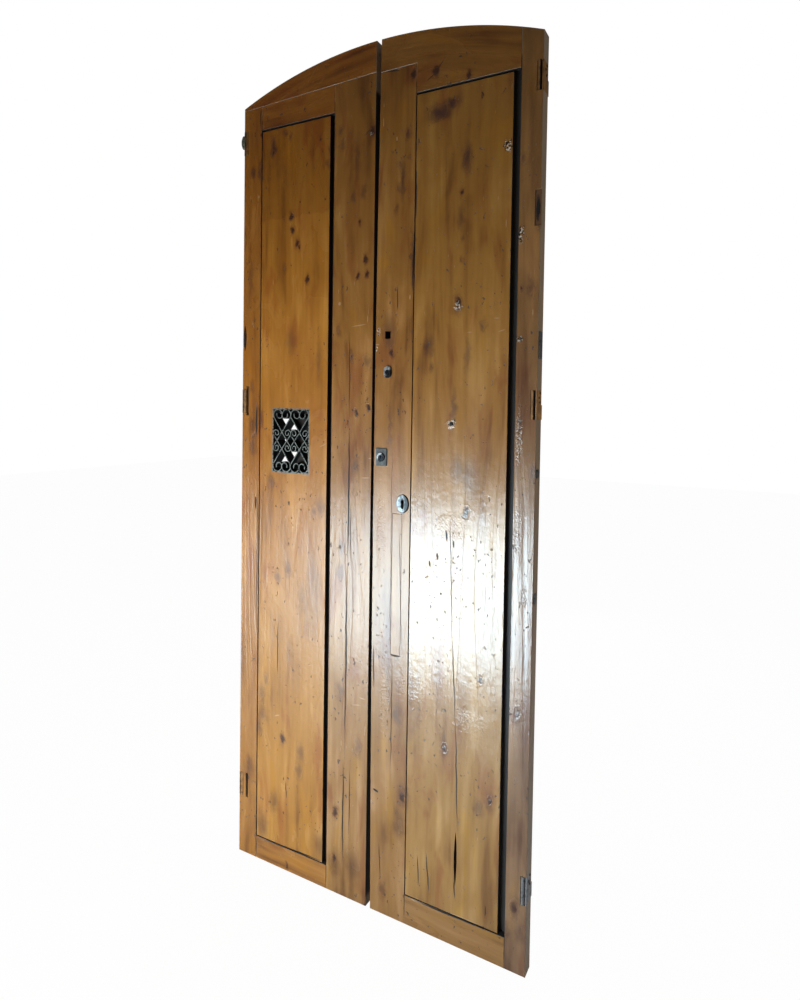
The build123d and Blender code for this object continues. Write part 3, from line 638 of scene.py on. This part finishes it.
def old_pine(board, along, seed, tones, marks=None, gloss=0.2, shine=0.5):
    """Varnished old pine for one board, whose grain runs up, across or arched."""
    material, nodes, shader, place = fresh_material(board + "_pine")
    pale, honey, dark = tones
    _, _, height = nodes.axes(place)
    laid = laid_along(nodes, place, along, seed)
    grain = use_group(nodes, PINE_GRAIN, {"Place": laid, "Pale": pale, "Honey": honey, "Dark": dark})
    wear = use_group(nodes, SMALL_WEAR, {"Place": place})
    # Painted light: bluer window light low down, then painted shade darkening the board towards its top
    low = nodes.blend(nodes.ramp(height, 0.5, 1.6), WINDOW_LIGHT_TINT, MIDDLE_LIGHT_TINT)
    colour = nodes.blend(1.0, grain["Colour"], painted_shade_above(nodes, height, low), "MULTIPLY")
    if board == "left_panel":
        colour = old_varnish(nodes, place, height, colour)
    colour = nodes.blend(nodes.times(wear["Speck"], 0.75), colour, SOOT_AND_SHADE)
    colour = nodes.blend(nodes.times(wear["Scuff"], 0.35), colour, PALE_SCUFF)
    relief = nodes.plus(nodes.times(grain["Height"], GRAIN_HEIGHT), wear["Dent"])
    relief = nodes.more(relief, wear["Wave"], WAVE_HEIGHT)
    relief = nodes.more(relief, wear["Speck"], -PIT_DEPTH)
    rough = nodes.plus(grain["Roughness"], gloss)
    rough = nodes.more(rough, wear["Speck"], 0.5)
    rough = nodes.more(rough, wear["Scuff"], 0.2)
    if marks:
        colour, relief, rough = marked(nodes, marks, place, colour, relief, rough)
    ends = {"Face": LEAF_FRONT, "Back": LEAF_BACK}
    if board in ("left_panel", "right_panel"):
        ends = {"Face": PANEL_FRONT, "Back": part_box(board)[1].y}
    away = use_group(nodes, RECESS_SHADE_AND_EDGES, {"Place": place, **ends})
    colour = nodes.blend(nodes.times(away["Edge"], 0.65), colour, EDGE_GRIME)
    # Painted shade: faces set back inside the leaf are darkened almost to black
    colour = nodes.blend(nodes.times(away["RecessShade"], 0.97), colour, RECESS_SHADE_BLACK)
    rough = nodes.more(rough, away["RecessShade"], 0.7)
    rough = nodes.more(rough, away["Edge"], 0.4)
    nodes.feed(shader.inputs["Base Color"], colour)
    nodes.feed(shader.inputs["Roughness"], nodes.math("MINIMUM", rough, DULLEST))
    shader.inputs["Coat Weight"].default_value = VARNISH_COAT
    shader.inputs["Coat Roughness"].default_value = VARNISH_DULLNESS
    shader.inputs["Specular IOR Level"].default_value = shine
    nodes.relief(shader, relief, 0.8, 0.0008)
    return material


def worn_metal(name, bright, dull, roughness, metallic, wear):
    """Metal whose tone wanders between bright and dull, with fine pitting."""
    material, nodes, shader, place = fresh_material(name)
    cloud = nodes.noise(place, 90.0, 4.0, 0.6)
    pit = nodes.noise(place, 630.0, 2.0, 0.5)
    colour = nodes.blend(nodes.ramp(cloud, 0.62 - wear * 0.3, 0.66), bright, dull)
    nodes.feed(shader.inputs["Base Color"], colour)
    nodes.feed(shader.inputs["Roughness"], nodes.ramp(cloud, 0.35, 0.7, roughness, roughness + 0.22))
    shader.inputs["Metallic"].default_value = metallic
    nodes.relief(shader, pit, 0.25, 0.0002)
    return material


def grille_finish():
    """Black iron whose front faces are worn grey by rubbing, the grey also standing in as a painted highlight
    along the bars' fronts.
    """
    material, nodes, shader, place = fresh_material("black_iron_rubbed_and_highlit")
    _, depth, _ = nodes.axes(place)
    front = nodes.ramp(depth, PANEL_FRONT + 0.0004, PANEL_FRONT + 0.0016, 1.0, 0.0)
    patch = nodes.ramp(nodes.noise(place, 140.0, 3.0, 0.6), 0.36, 0.52)
    # Grey fronts: rubbed iron, and partly painted highlight
    rubbed_and_highlit = nodes.times(front, patch)
    nodes.feed(shader.inputs["Base Color"], nodes.blend(rubbed_and_highlit, paint("#080a09"), paint("#767a73")))
    nodes.feed(shader.inputs["Metallic"], nodes.times(rubbed_and_highlit, 0.4))
    nodes.feed(shader.inputs["Roughness"], nodes.ramp(rubbed_and_highlit, 0.0, 1.0, 0.75, 0.45))
    return material


def dress(names, material):
    """Gives CAD pieces their material."""
    for name in names:
        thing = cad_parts[name]
        thing.data.materials.clear()
        thing.data.materials.append(material)


PINE_GRAIN = pine_grain_group()
SMALL_WEAR = wear_group()
RECESS_SHADE_AND_EDGES = depth_group()
LEFT_MARKS = (LEFT_STAINS, LEFT_KNOTS, LEFT_CHIPS_AND_GLINTS, LEFT_CRACKS, LEFT_SCRATCHES)
RIGHT_MARKS = (RIGHT_STAINS, RIGHT_KNOTS, RIGHT_CHIPS_AND_GLINTS, RIGHT_CRACKS, RIGHT_SCRATCHES)


def finish_wood():
    """Each board in its own tone, with its own grain and marks."""
    honey = (paint("#c88e44"), paint("#ab712a"), paint("#7e4d1c"))
    bright = (paint("#d39a4a"), paint("#b77d2e"), paint("#8a581f"))
    tan = (paint("#c39458"), paint("#a5763a"), paint("#7b5124"))
    gold = (paint("#cda05a"), paint("#b0813c"), paint("#875a26"))
    dull = (paint("#b78b58"), paint("#967046"), paint("#6b482a"))
    for board, along, seed, tones, marks, gloss, shine in (
        ("left_outer_stile", "up", 1, honey, LEFT_MARKS, 0.24, 0.45),
        ("left_meeting_stile", "up", 2, tan, LEFT_MARKS, 0.22, 0.45),
        ("left_arched_rail", "arched", 3, honey, LEFT_MARKS, 0.26, 0.5),
        ("left_top_rail", "across", 15, honey, LEFT_MARKS, 0.26, 0.5),
        ("left_bottom_rail", "across", 4, honey, LEFT_MARKS, 0.26, 0.5),
        ("left_panel", "up", 5, bright, LEFT_MARKS, 0.25, 0.35),
        ("right_outer_stile", "up", 6, dull, RIGHT_MARKS, 0.21, 0.8),
        ("right_meeting_stile", "up", 7, tan, RIGHT_MARKS, 0.22, 0.45),
        ("right_arched_rail", "arched", 8, tan, RIGHT_MARKS, 0.26, 0.5),
        ("right_bottom_rail", "across", 9, tan, RIGHT_MARKS, 0.26, 0.5),
        ("right_panel", "up", 10, gold, RIGHT_MARKS, 0.20, 0.75),
        ("repair_strip", "up", 11, tan, RIGHT_MARKS, 0.22, 0.42),
    ):
        marks = board_marks_group(board, *marks)
        dress([board], old_pine(board, along, seed, tones, marks, gloss, shine))
    for board, along, seed in (
        ("left_jamb", "up", 12),
        ("right_jamb", "up", 13),
        ("arched_head", "arched", 14),
    ):
        dress([board], old_pine(board, along, seed, dull, gloss=0.35))


def hinge_finish():
    """Iron varnished with the wood, darkened towards the top by painted shade, and painted black as shade
    where the barrel sits in its slot.
    """
    material, nodes, shader, place = fresh_material("varnished_hinge")
    sideways, _, height = nodes.axes(place)
    outward = nodes.math("ABSOLUTE", sideways)
    past_slot = nodes.ramp(outward, SLOT_FAR, SLOT_FAR + 0.0006)
    slot = nodes.minus(nodes.ramp(outward, SLOT_NEAR - 0.0006, SLOT_NEAR), past_slot)
    cloud = nodes.noise(place, 60.0, 3.0, 0.6)
    brown = nodes.blend(nodes.ramp(cloud, 0.35, 0.65), paint("#7d5a34"), paint("#a9804f"))
    brown = nodes.blend(1.0, brown, painted_shade_above(nodes, height, MIDDLE_LIGHT_TINT), "MULTIPLY")
    # Painted shade: the barrel is painted black across the slot, and darker towards the top
    nodes.feed(shader.inputs["Base Color"], nodes.blend(slot, brown, SOOT_AND_SHADE))
    nodes.feed(shader.inputs["Roughness"], nodes.ramp(cloud, 0.3, 0.7, 0.45, 0.65))
    shader.inputs["Metallic"].default_value = 0.1
    nodes.relief(shader, cloud, 0.3, 0.0005)
    return material


def plate_finish():
    """Grey plate with a painted highlight along its left rim, and painted shadow in black along its right and
    top edges.
    """
    low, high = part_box("lower_plate")
    material, nodes, shader, place = fresh_material("grey_plate_painted_highlight_and_shadow")
    sideways, _, height = nodes.axes(place)
    # Painted shadow along the right and top edges
    right = nodes.ramp(sideways, high.x - 0.0045, high.x - 0.0025)
    top = nodes.ramp(height, high.z - 0.0030, high.z - 0.0015)
    rim = nodes.math("MAXIMUM", right, top)
    # Painted highlight along the left rim
    left = nodes.ramp(sideways, low.x + 0.0015, low.x + 0.0040, 1.0, 0.0)
    cloud = nodes.noise(place, 120.0, 4.0, 0.6)
    grey = nodes.blend(nodes.ramp(cloud, 0.35, 0.65), paint("#3e3d3b"), paint("#66635f"))
    grey = nodes.blend(nodes.times(left, 0.6), grey, paint("#a7a5a0"))
    nodes.feed(shader.inputs["Base Color"], nodes.blend(rim, grey, SOOT_AND_SHADE))
    nodes.feed(shader.inputs["Metallic"], nodes.ramp(rim, 0.0, 1.0, 0.35, 0.0))
    nodes.feed(shader.inputs["Roughness"], nodes.ramp(cloud, 0.3, 0.7, 0.42, 0.58))
    return material


def lit_and_shaded_collar(node, bright_share):
    """A nickel collar with a painted highlight at its upper left, and painted shade darkening it to black
    towards its lower right.
    """
    low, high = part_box(node)
    centre = (low + high) / 2
    reach = (high.x - low.x) / 2
    material, nodes, shader, place = fresh_material(node + "_nickel")
    x, _, z = nodes.axes(place)
    sideways = nodes.minus(x, centre.x)
    upwards = nodes.minus(z, centre.z)
    slant = nodes.minus(nodes.times(upwards, 0.75), sideways)
    cloud = nodes.noise(place, 150.0, 3.0, 0.6)
    slant = nodes.more(slant, nodes.minus(cloud, 0.5), reach)
    edge = reach * (1.0 - 2.0 * bright_share)
    # Painted light: lit towards the upper left, shaded towards the lower right, with a ragged edge
    lit_side = nodes.ramp(slant, edge - reach * 0.35, edge + reach * 0.35)
    nodes.feed(shader.inputs["Base Color"], nodes.blend(lit_side, paint("#17181a"), paint("#c3c6c6")))
    nodes.feed(shader.inputs["Metallic"], nodes.ramp(lit_side, 0.0, 1.0, 0.3, 0.6))
    nodes.feed(shader.inputs["Roughness"], nodes.ramp(cloud, 0.3, 0.7, 0.22, 0.40))
    return material


def from_middle(nodes, place, node, aside=0.0):
    """How far a place is from the middle of a piece, 1 at its rim. aside moves the middle to the left."""
    low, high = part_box(node)
    centre = (low + high) / 2
    half_width, half_length = (high.x - low.x) / 2, (high.z - low.z) / 2
    centred = nodes.add("VectorMath", {0: place}, operation="MULTIPLY_ADD")
    centred.inputs[1].default_value = (1 / half_width, 0.0, 1 / half_length)
    centred.inputs[2].default_value = ((aside - centre.x) / half_width, 0.0, -centre.z / half_length)
    reach = nodes.add("VectorMath", {0: centred.outputs["Vector"]}, operation="LENGTH")
    return reach.outputs["Value"]


def escutcheon_finish():
    """Nickel plate, bright on its left, with painted shade darkening its right side, painted shade and dirt
    round the keyhole, and a painted shadow line round its rim, strongest down its right edge.
    """
    low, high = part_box("keyhole_escutcheon")
    centre = (low + high) / 2
    material, nodes, shader, place = fresh_material("keyhole_nickel_with_painted_shade")
    x, _, z = nodes.axes(place)
    sideways = nodes.minus(x, centre.x)
    upwards = nodes.minus(z, centre.z)
    past_end = nodes.minus(nodes.math("ABSOLUTE", upwards), KEYHOLE_HALF_LENGTH)
    past_end = nodes.math("MAXIMUM", past_end, 0.0)
    across = nodes.times(sideways, sideways)
    far = nodes.math("SQRT", nodes.plus(across, nodes.times(past_end, past_end)))
    keyhole_shade_and_dirt = nodes.ramp(far, *KEYHOLE_SHADE_AND_DIRT, 1.0, 0.0)
    # Painted shadow line round the rim, moved so that it is strongest on the right
    rim = nodes.ramp(from_middle(nodes, place, "keyhole_escutcheon", SHADOW_RIM_ASIDE), 0.90, 0.98)
    cloud = nodes.noise(place, 110.0, 3.0, 0.6)
    silver = nodes.blend(nodes.ramp(cloud, 0.4, 0.6), paint("#55595a"), paint("#94989a"))
    # Painted shade: the plate darkens towards its right side
    silver = nodes.blend(nodes.ramp(sideways, 0.001, 0.010, 0.0, 0.85), silver, paint("#1d1e1f"))
    dark = nodes.math("MAXIMUM", keyhole_shade_and_dirt, rim)
    nodes.feed(shader.inputs["Base Color"], nodes.blend(dark, silver, paint("#0b0a0a")))
    nodes.feed(shader.inputs["Metallic"], nodes.ramp(dark, 0.0, 1.0, 0.6, 0.0))
    rough = nodes.more(nodes.ramp(cloud, 0.3, 0.7, 0.3, 0.45), dark, 0.4)
    nodes.feed(shader.inputs["Roughness"], rough)
    return material


def old_plate_finish():
    """Iron plate, black in its middle and lost under old varnish towards its rim."""
    material, nodes, shader, place = fresh_material("half_hidden_plate")
    cloud = nodes.noise(place, 90.0, 3.0, 0.6)
    ragged = nodes.more(from_middle(nodes, place, "old_hinge_plate"), nodes.minus(cloud, 0.5), 0.7)
    black = nodes.ramp(ragged, 0.45, 0.85, 1.0, 0.0)
    nodes.feed(shader.inputs["Base Color"], nodes.blend(black, paint("#6b4a2c"), paint("#14110f")))
    nodes.feed(shader.inputs["Roughness"], nodes.ramp(cloud, 0.3, 0.7, 0.4, 0.65))
    nodes.relief(shader, cloud, 0.5, 0.0008)
    return material


def finish_metal():
    """The hinges, locks, plates and grille. Gives back the metals that the small pieces are made of too."""
    black_iron = grille_finish()
    dress(["grille_frame", "grille_scrolls"], black_iron)
    iron = worn_metal("old_iron", *OLD_IRON, 0.55, 0.5, 0.7)
    steel = worn_metal("dull_steel", paint("#8b8d8f"), paint("#5b5c5e"), 0.38, 0.8, 0.4)
    nickel = worn_metal("bright_nickel", paint("#b9bdbf"), paint("#5d6265"), 0.30, 0.75, 0.5)
    plug = worn_metal("plug_metal", paint("#1f2630"), paint("#0a0d12"), 0.28, 0.5, 0.6)
    painted = worn_metal("lock_paint", paint("#3d3833"), paint("#241f1a"), 0.45, 0.1, 0.4)
    black = worn_metal("black_case", paint("#14110f"), paint("#0a0807"), 0.85, 0.0, 0.4)
    hinge = hinge_finish()
    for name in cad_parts:
        if "_hinge_" in name and name != "old_hinge_plate":
            dress([name], hinge)
    dress(["frame_hinge_right_bottom", "leaf_hinge_right_bottom"], steel)
    dress(["old_hinge_plate"], old_plate_finish())
    dress(["old_strap"], iron)
    dress(["upper_cylinder"], lit_and_shaded_collar("upper_cylinder", 0.55))
    dress(["lower_cylinder"], lit_and_shaded_collar("lower_cylinder", 0.30))
    dress(["keyhole_escutcheon"], escutcheon_finish())
    dress(["lower_plate"], plate_finish())
    dress(["upper_plug", "lower_plug"], plug)
    dress(["upper_rim_lock", "lower_rim_lock", "upper_keeper", "lower_keeper"], painted)
    dress(["upper_rim_bolt", "lower_rim_bolt", "mortise_bolt", "strike_plate"], steel)
    dress(["mortise_lock_case"], black)
    return iron, steel, nickel, black_iron


# Small pieces

LEAF_EDGE = 0.495
HEAD_HEIGHT = 0.0012
SLOT_WIDTH = 0.0011
LOCK_SCREW = 0.0036
KEEPER_SCREW = 0.0028
HINGE_SCREW = 0.0034
LOCK_SCREW_INSET = 0.008
KEEPER_SCREW_INSET = 0.0062
STRIKE_SCREW_INSET = 0.014
HINGE_SCREW_INSET = 0.007
HINGE_SCREW_NEAR = 0.0075
HINGE_SCREW_FAR = 0.0165
PIN_FROM_END = 0.0062
HATCH = (-0.3635, -0.2865, 1.2915, 1.4835)
KNUCKLE_AT = (-0.5000, -0.0300, 2.352)
FITTING_MIDDLE_Y = -0.020
FITTING_WIDTH = 0.020
FITTING_SUNK = 0.0005
STUD_AT = (0.256, PANEL_FRONT, 1.456)


def stand(mesh, place, normal, turn=0.0):
    """Sets a piece modelled along +Z on a face, turned about the face's normal."""
    upright = Vector(normal).to_track_quat("Z", "Y").to_matrix().to_4x4()
    spun = Matrix.Rotation(math.radians(turn), 4, "Z")
    bmesh.ops.transform(mesh, matrix=Matrix.Translation(place) @ upright @ spun, verts=mesh.verts)


def joined(pieces, name):
    """Several small meshes as one piece."""
    whole = bmesh.new()
    for piece in pieces:
        data = bpy.data.meshes.new("part")
        piece.to_mesh(data)
        piece.free()
        whole.from_mesh(data)
        bpy.data.meshes.remove(data)
    return mesh_object(whole, name)


def turned(profile, steps=24):
    """A turned piece from its profile, given as radius and height in millimetres from foot to tip."""
    mesh = bmesh.new()
    points = [mesh.verts.new((radius / 1000, 0.0, height / 1000)) for radius, height in profile]
    edges = [mesh.edges.new(pair) for pair in zip(points, points[1:])]
    bmesh.ops.spin(
        mesh, geom=points + edges, cent=(0.0, 0.0, 0.0), axis=(0.0, 0.0, 1.0), dvec=(0.0, 0.0, 0.0),
        angle=math.tau, steps=steps, use_merge=True, use_duplicate=False,
    )
    bmesh.ops.remove_doubles(mesh, verts=mesh.verts, dist=1e-6)
    bmesh.ops.recalc_face_normals(mesh, faces=mesh.faces)
    return mesh


def slotted_head(radius):
    """A low screw head with its slot sunk in the top."""
    mesh = bmesh.new()
    bmesh.ops.create_cone(
        mesh, cap_ends=True, segments=20, radius1=radius, radius2=radius * 0.8, depth=HEAD_HEIGHT,
    )
    half = SLOT_WIDTH / 2
    end = radius * 0.66
    along, across = (0, 1, 0), (1, 0, 0)
    for spot, way in (
        ((half, 0, 0), across), ((-half, 0, 0), across), ((0, end, 0), along), ((0, -end, 0), along),
    ):
        everything = mesh.verts[:] + mesh.edges[:] + mesh.faces[:]
        bmesh.ops.bisect_plane(mesh, geom=everything, plane_co=spot, plane_no=way)
    floor = []
    for face in mesh.faces:
        middle = face.calc_center_median()
        if face.normal.z > 0.9 and abs(middle.x) < half and abs(middle.y) < end:
            floor.append(face)
    sunk = bmesh.ops.extrude_face_region(mesh, geom=floor)
    corners = [item for item in sunk["geom"] if isinstance(item, bmesh.types.BMVert)]
    bmesh.ops.translate(mesh, verts=corners, vec=(0.0, 0.0, -HEAD_HEIGHT * 0.7))
    bmesh.ops.translate(mesh, verts=mesh.verts, vec=(0.0, 0.0, HEAD_HEIGHT / 2))
    bmesh.ops.recalc_face_normals(mesh, faces=mesh.faces)
    return mesh


def screws(name, places, normal, radius, body, material):
    """Screw heads at several places, each with its slot at another angle."""
    heads = []
    for count, place in enumerate(places):
        head = slotted_head(radius)
        stand(head, place, normal, 35.0 + 67.0 * count)
        heads.append(head)
    keep(joined(heads, name), body, material)


def keep(piece, body, material):
    """Gives a piece its material and its body."""
    piece.data.materials.append(material)
    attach(piece, body)


def lock_screws(steel):
    """Screws that hold the rim locks, their keepers, the strike and the two edge plates."""
    for node in ("upper_rim_lock", "lower_rim_lock"):
        low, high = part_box(node)
        columns = (low.x + LOCK_SCREW_INSET, high.x - LOCK_SCREW_INSET)
        rows = (low.z + LOCK_SCREW_INSET, high.z - LOCK_SCREW_INSET)
        places = [(x, high.y, z) for x in columns for z in rows]
        screws(node + "_screws", places, (0, 1, 0), LOCK_SCREW, "right_leaf", steel)
    for node in ("upper_keeper", "lower_keeper"):
        low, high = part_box(node)
        middle = (low.x + high.x) / 2
        places = [(middle, high.y, z) for z in (low.z + KEEPER_SCREW_INSET, high.z - KEEPER_SCREW_INSET)]
        screws(node + "_screws", places, (0, 1, 0), KEEPER_SCREW, "left_leaf", steel)
    low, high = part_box("strike_plate")
    middle = (low.y + high.y) / 2
    places = [(high.x, middle, z) for z in (low.z + STRIKE_SCREW_INSET, high.z - STRIKE_SCREW_INSET)]
    screws("strike_screws", places, (1, 0, 0), LOCK_SCREW, "left_leaf", steel)
    low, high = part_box("mortise_lock_case")
    places = [(low.x, middle, z) for z in (low.z + LOCK_SCREW_INSET, high.z - LOCK_SCREW_INSET)]
    screws("forend_screws", places, (-1, 0, 0), LOCK_SCREW, "right_leaf", steel)


def hinge_screws(iron):
    """Three screws through each hinge plate into the leaf's edge."""
    for side, way in (("left", -1.0), ("right", 1.0)):
        for level in ("bottom", "middle", "top"):
            low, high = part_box(f"leaf_hinge_{side}_{level}")
            edge = high.x if way > 0 else low.x
            near, far = high.y - HINGE_SCREW_NEAR, high.y - HINGE_SCREW_FAR
            places = [
                (edge, near, low.z + HINGE_SCREW_INSET),
                (edge, far, (low.z + high.z) / 2),
                (edge, near, high.z - HINGE_SCREW_INSET),
            ]
            name = f"hinge_screws_{side}_{level}"
            screws(name, places, (way, 0, 0), HINGE_SCREW, f"{side}_leaf", iron)


def escutcheon_pins(nickel):
    """Round-headed pins at the top and foot of the keyhole plate."""
    low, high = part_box("keyhole_escutcheon")
    middle = (low.x + high.x) / 2
    pins = []
    for z in (low.z + PIN_FROM_END, high.z - PIN_FROM_END):
        pin = turned([(0.0, -0.4), (1.9, -0.4), (1.9, 0.2), (1.5, 0.8), (0.8, 1.15), (0.0, 1.25)], 20)
        stand(pin, (middle, low.y, z), (0, -1, 0))
        pins.append(pin)
    keep(joined(pins, "escutcheon_pins"), "right_leaf", nickel)


def hatch_bars(iron):
    """The grille's bars carried back through the hatch to the leaf's inner face."""
    mesh = bmesh.new()
    mesh.from_mesh(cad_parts["grille_scrolls"].data)
    bmesh.ops.remove_doubles(mesh, verts=mesh.verts, dist=1e-6)
    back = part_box("grille_scrolls")[1].y
    bmesh.ops.translate(mesh, verts=mesh.verts, vec=(0.0, LEAF_BACK - back, 0.0))
    left, right, bottom, top = HATCH
    for spot, way in (
        ((left, 0, 0), (-1, 0, 0)),
        ((right, 0, 0), (1, 0, 0)),
        ((0, 0, bottom), (0, 0, -1)),
        ((0, 0, top), (0, 0, 1)),
    ):
        everything = mesh.verts[:] + mesh.edges[:] + mesh.faces[:]
        cut = bmesh.ops.bisect_plane(mesh, geom=everything, plane_co=spot, plane_no=way, clear_outer=True)
        rim = [item for item in cut["geom_cut"] if isinstance(item, bmesh.types.BMEdge)]
        bmesh.ops.holes_fill(mesh, edges=rim, sides=0)
    bmesh.ops.recalc_face_normals(mesh, faces=mesh.faces)
    keep(mesh_object(mesh, "hatch_bars"), "left_leaf", iron)


def edge_fittings(iron, steel):
    """What is left of older fittings on the outer edges and on the panel."""
    weathered = worn_metal("weathered_iron", paint("#6a6d5f"), paint("#34362d"), 0.5, 0.3, 0.4)
    lower_half = [
        (0.0, -21.0), (4.2, -20.5), (6.0, -18.0), (7.2, -13.0),
        (8.6, -9.0), (8.6, -8.2), (8.0, -7.8), (8.9, -7.0),
    ]
    upper_half = [(radius, -height) for radius, height in reversed(lower_half)]
    knuckle = turned(lower_half + [(9.3, 0.0)] + upper_half)
    stand(knuckle, KNUCKLE_AT, (0, 0, 1))
    keep(mesh_object(knuckle, "left_top_knuckle"), "left_leaf", weathered)
    for name, middle, tall, thick in (
        ("edge_plate", 1.665, 0.070, 0.005),
        ("edge_lug_upper", 1.333, 0.022, 0.003),
        ("edge_lug_lower", 1.007, 0.026, 0.003),
    ):
        mesh = bmesh.new()
        bmesh.ops.create_cube(mesh, size=1.0)
        bmesh.ops.scale(mesh, verts=mesh.verts, vec=(thick, FITTING_WIDTH, tall))
        bmesh.ops.bevel(
            mesh, geom=mesh.edges[:], offset=thick * 0.45, offset_type="OFFSET", segments=3, profile=0.5,
            affect="EDGES", material=-1,
        )
        outward = LEAF_EDGE + thick / 2 - FITTING_SUNK
        bmesh.ops.translate(mesh, verts=mesh.verts, vec=(outward, FITTING_MIDDLE_Y, middle))
        keep(mesh_object(mesh, name), "right_leaf", steel)
    stud = turned([(0.0, -1.0), (5.6, -1.0), (6.0, 0.0), (5.8, 0.6), (4.8, 1.4), (3.0, 2.0), (0.0, 2.3)])
    stand(stud, STUD_AT, (0, -1, 0))
    keep(mesh_object(stud, "panel_stud"), "right_leaf", iron)


# The scene

bpy.context.scene.view_settings.view_transform = "Standard"
place_camera()
light_the_door()
finish_wood()
old_iron, dull_steel, bright_nickel, black_iron = finish_metal()
lock_screws(dull_steel)
hinge_screws(old_iron)
escutcheon_pins(bright_nickel)
edge_fittings(old_iron, dull_steel)
hatch_bars(black_iron)
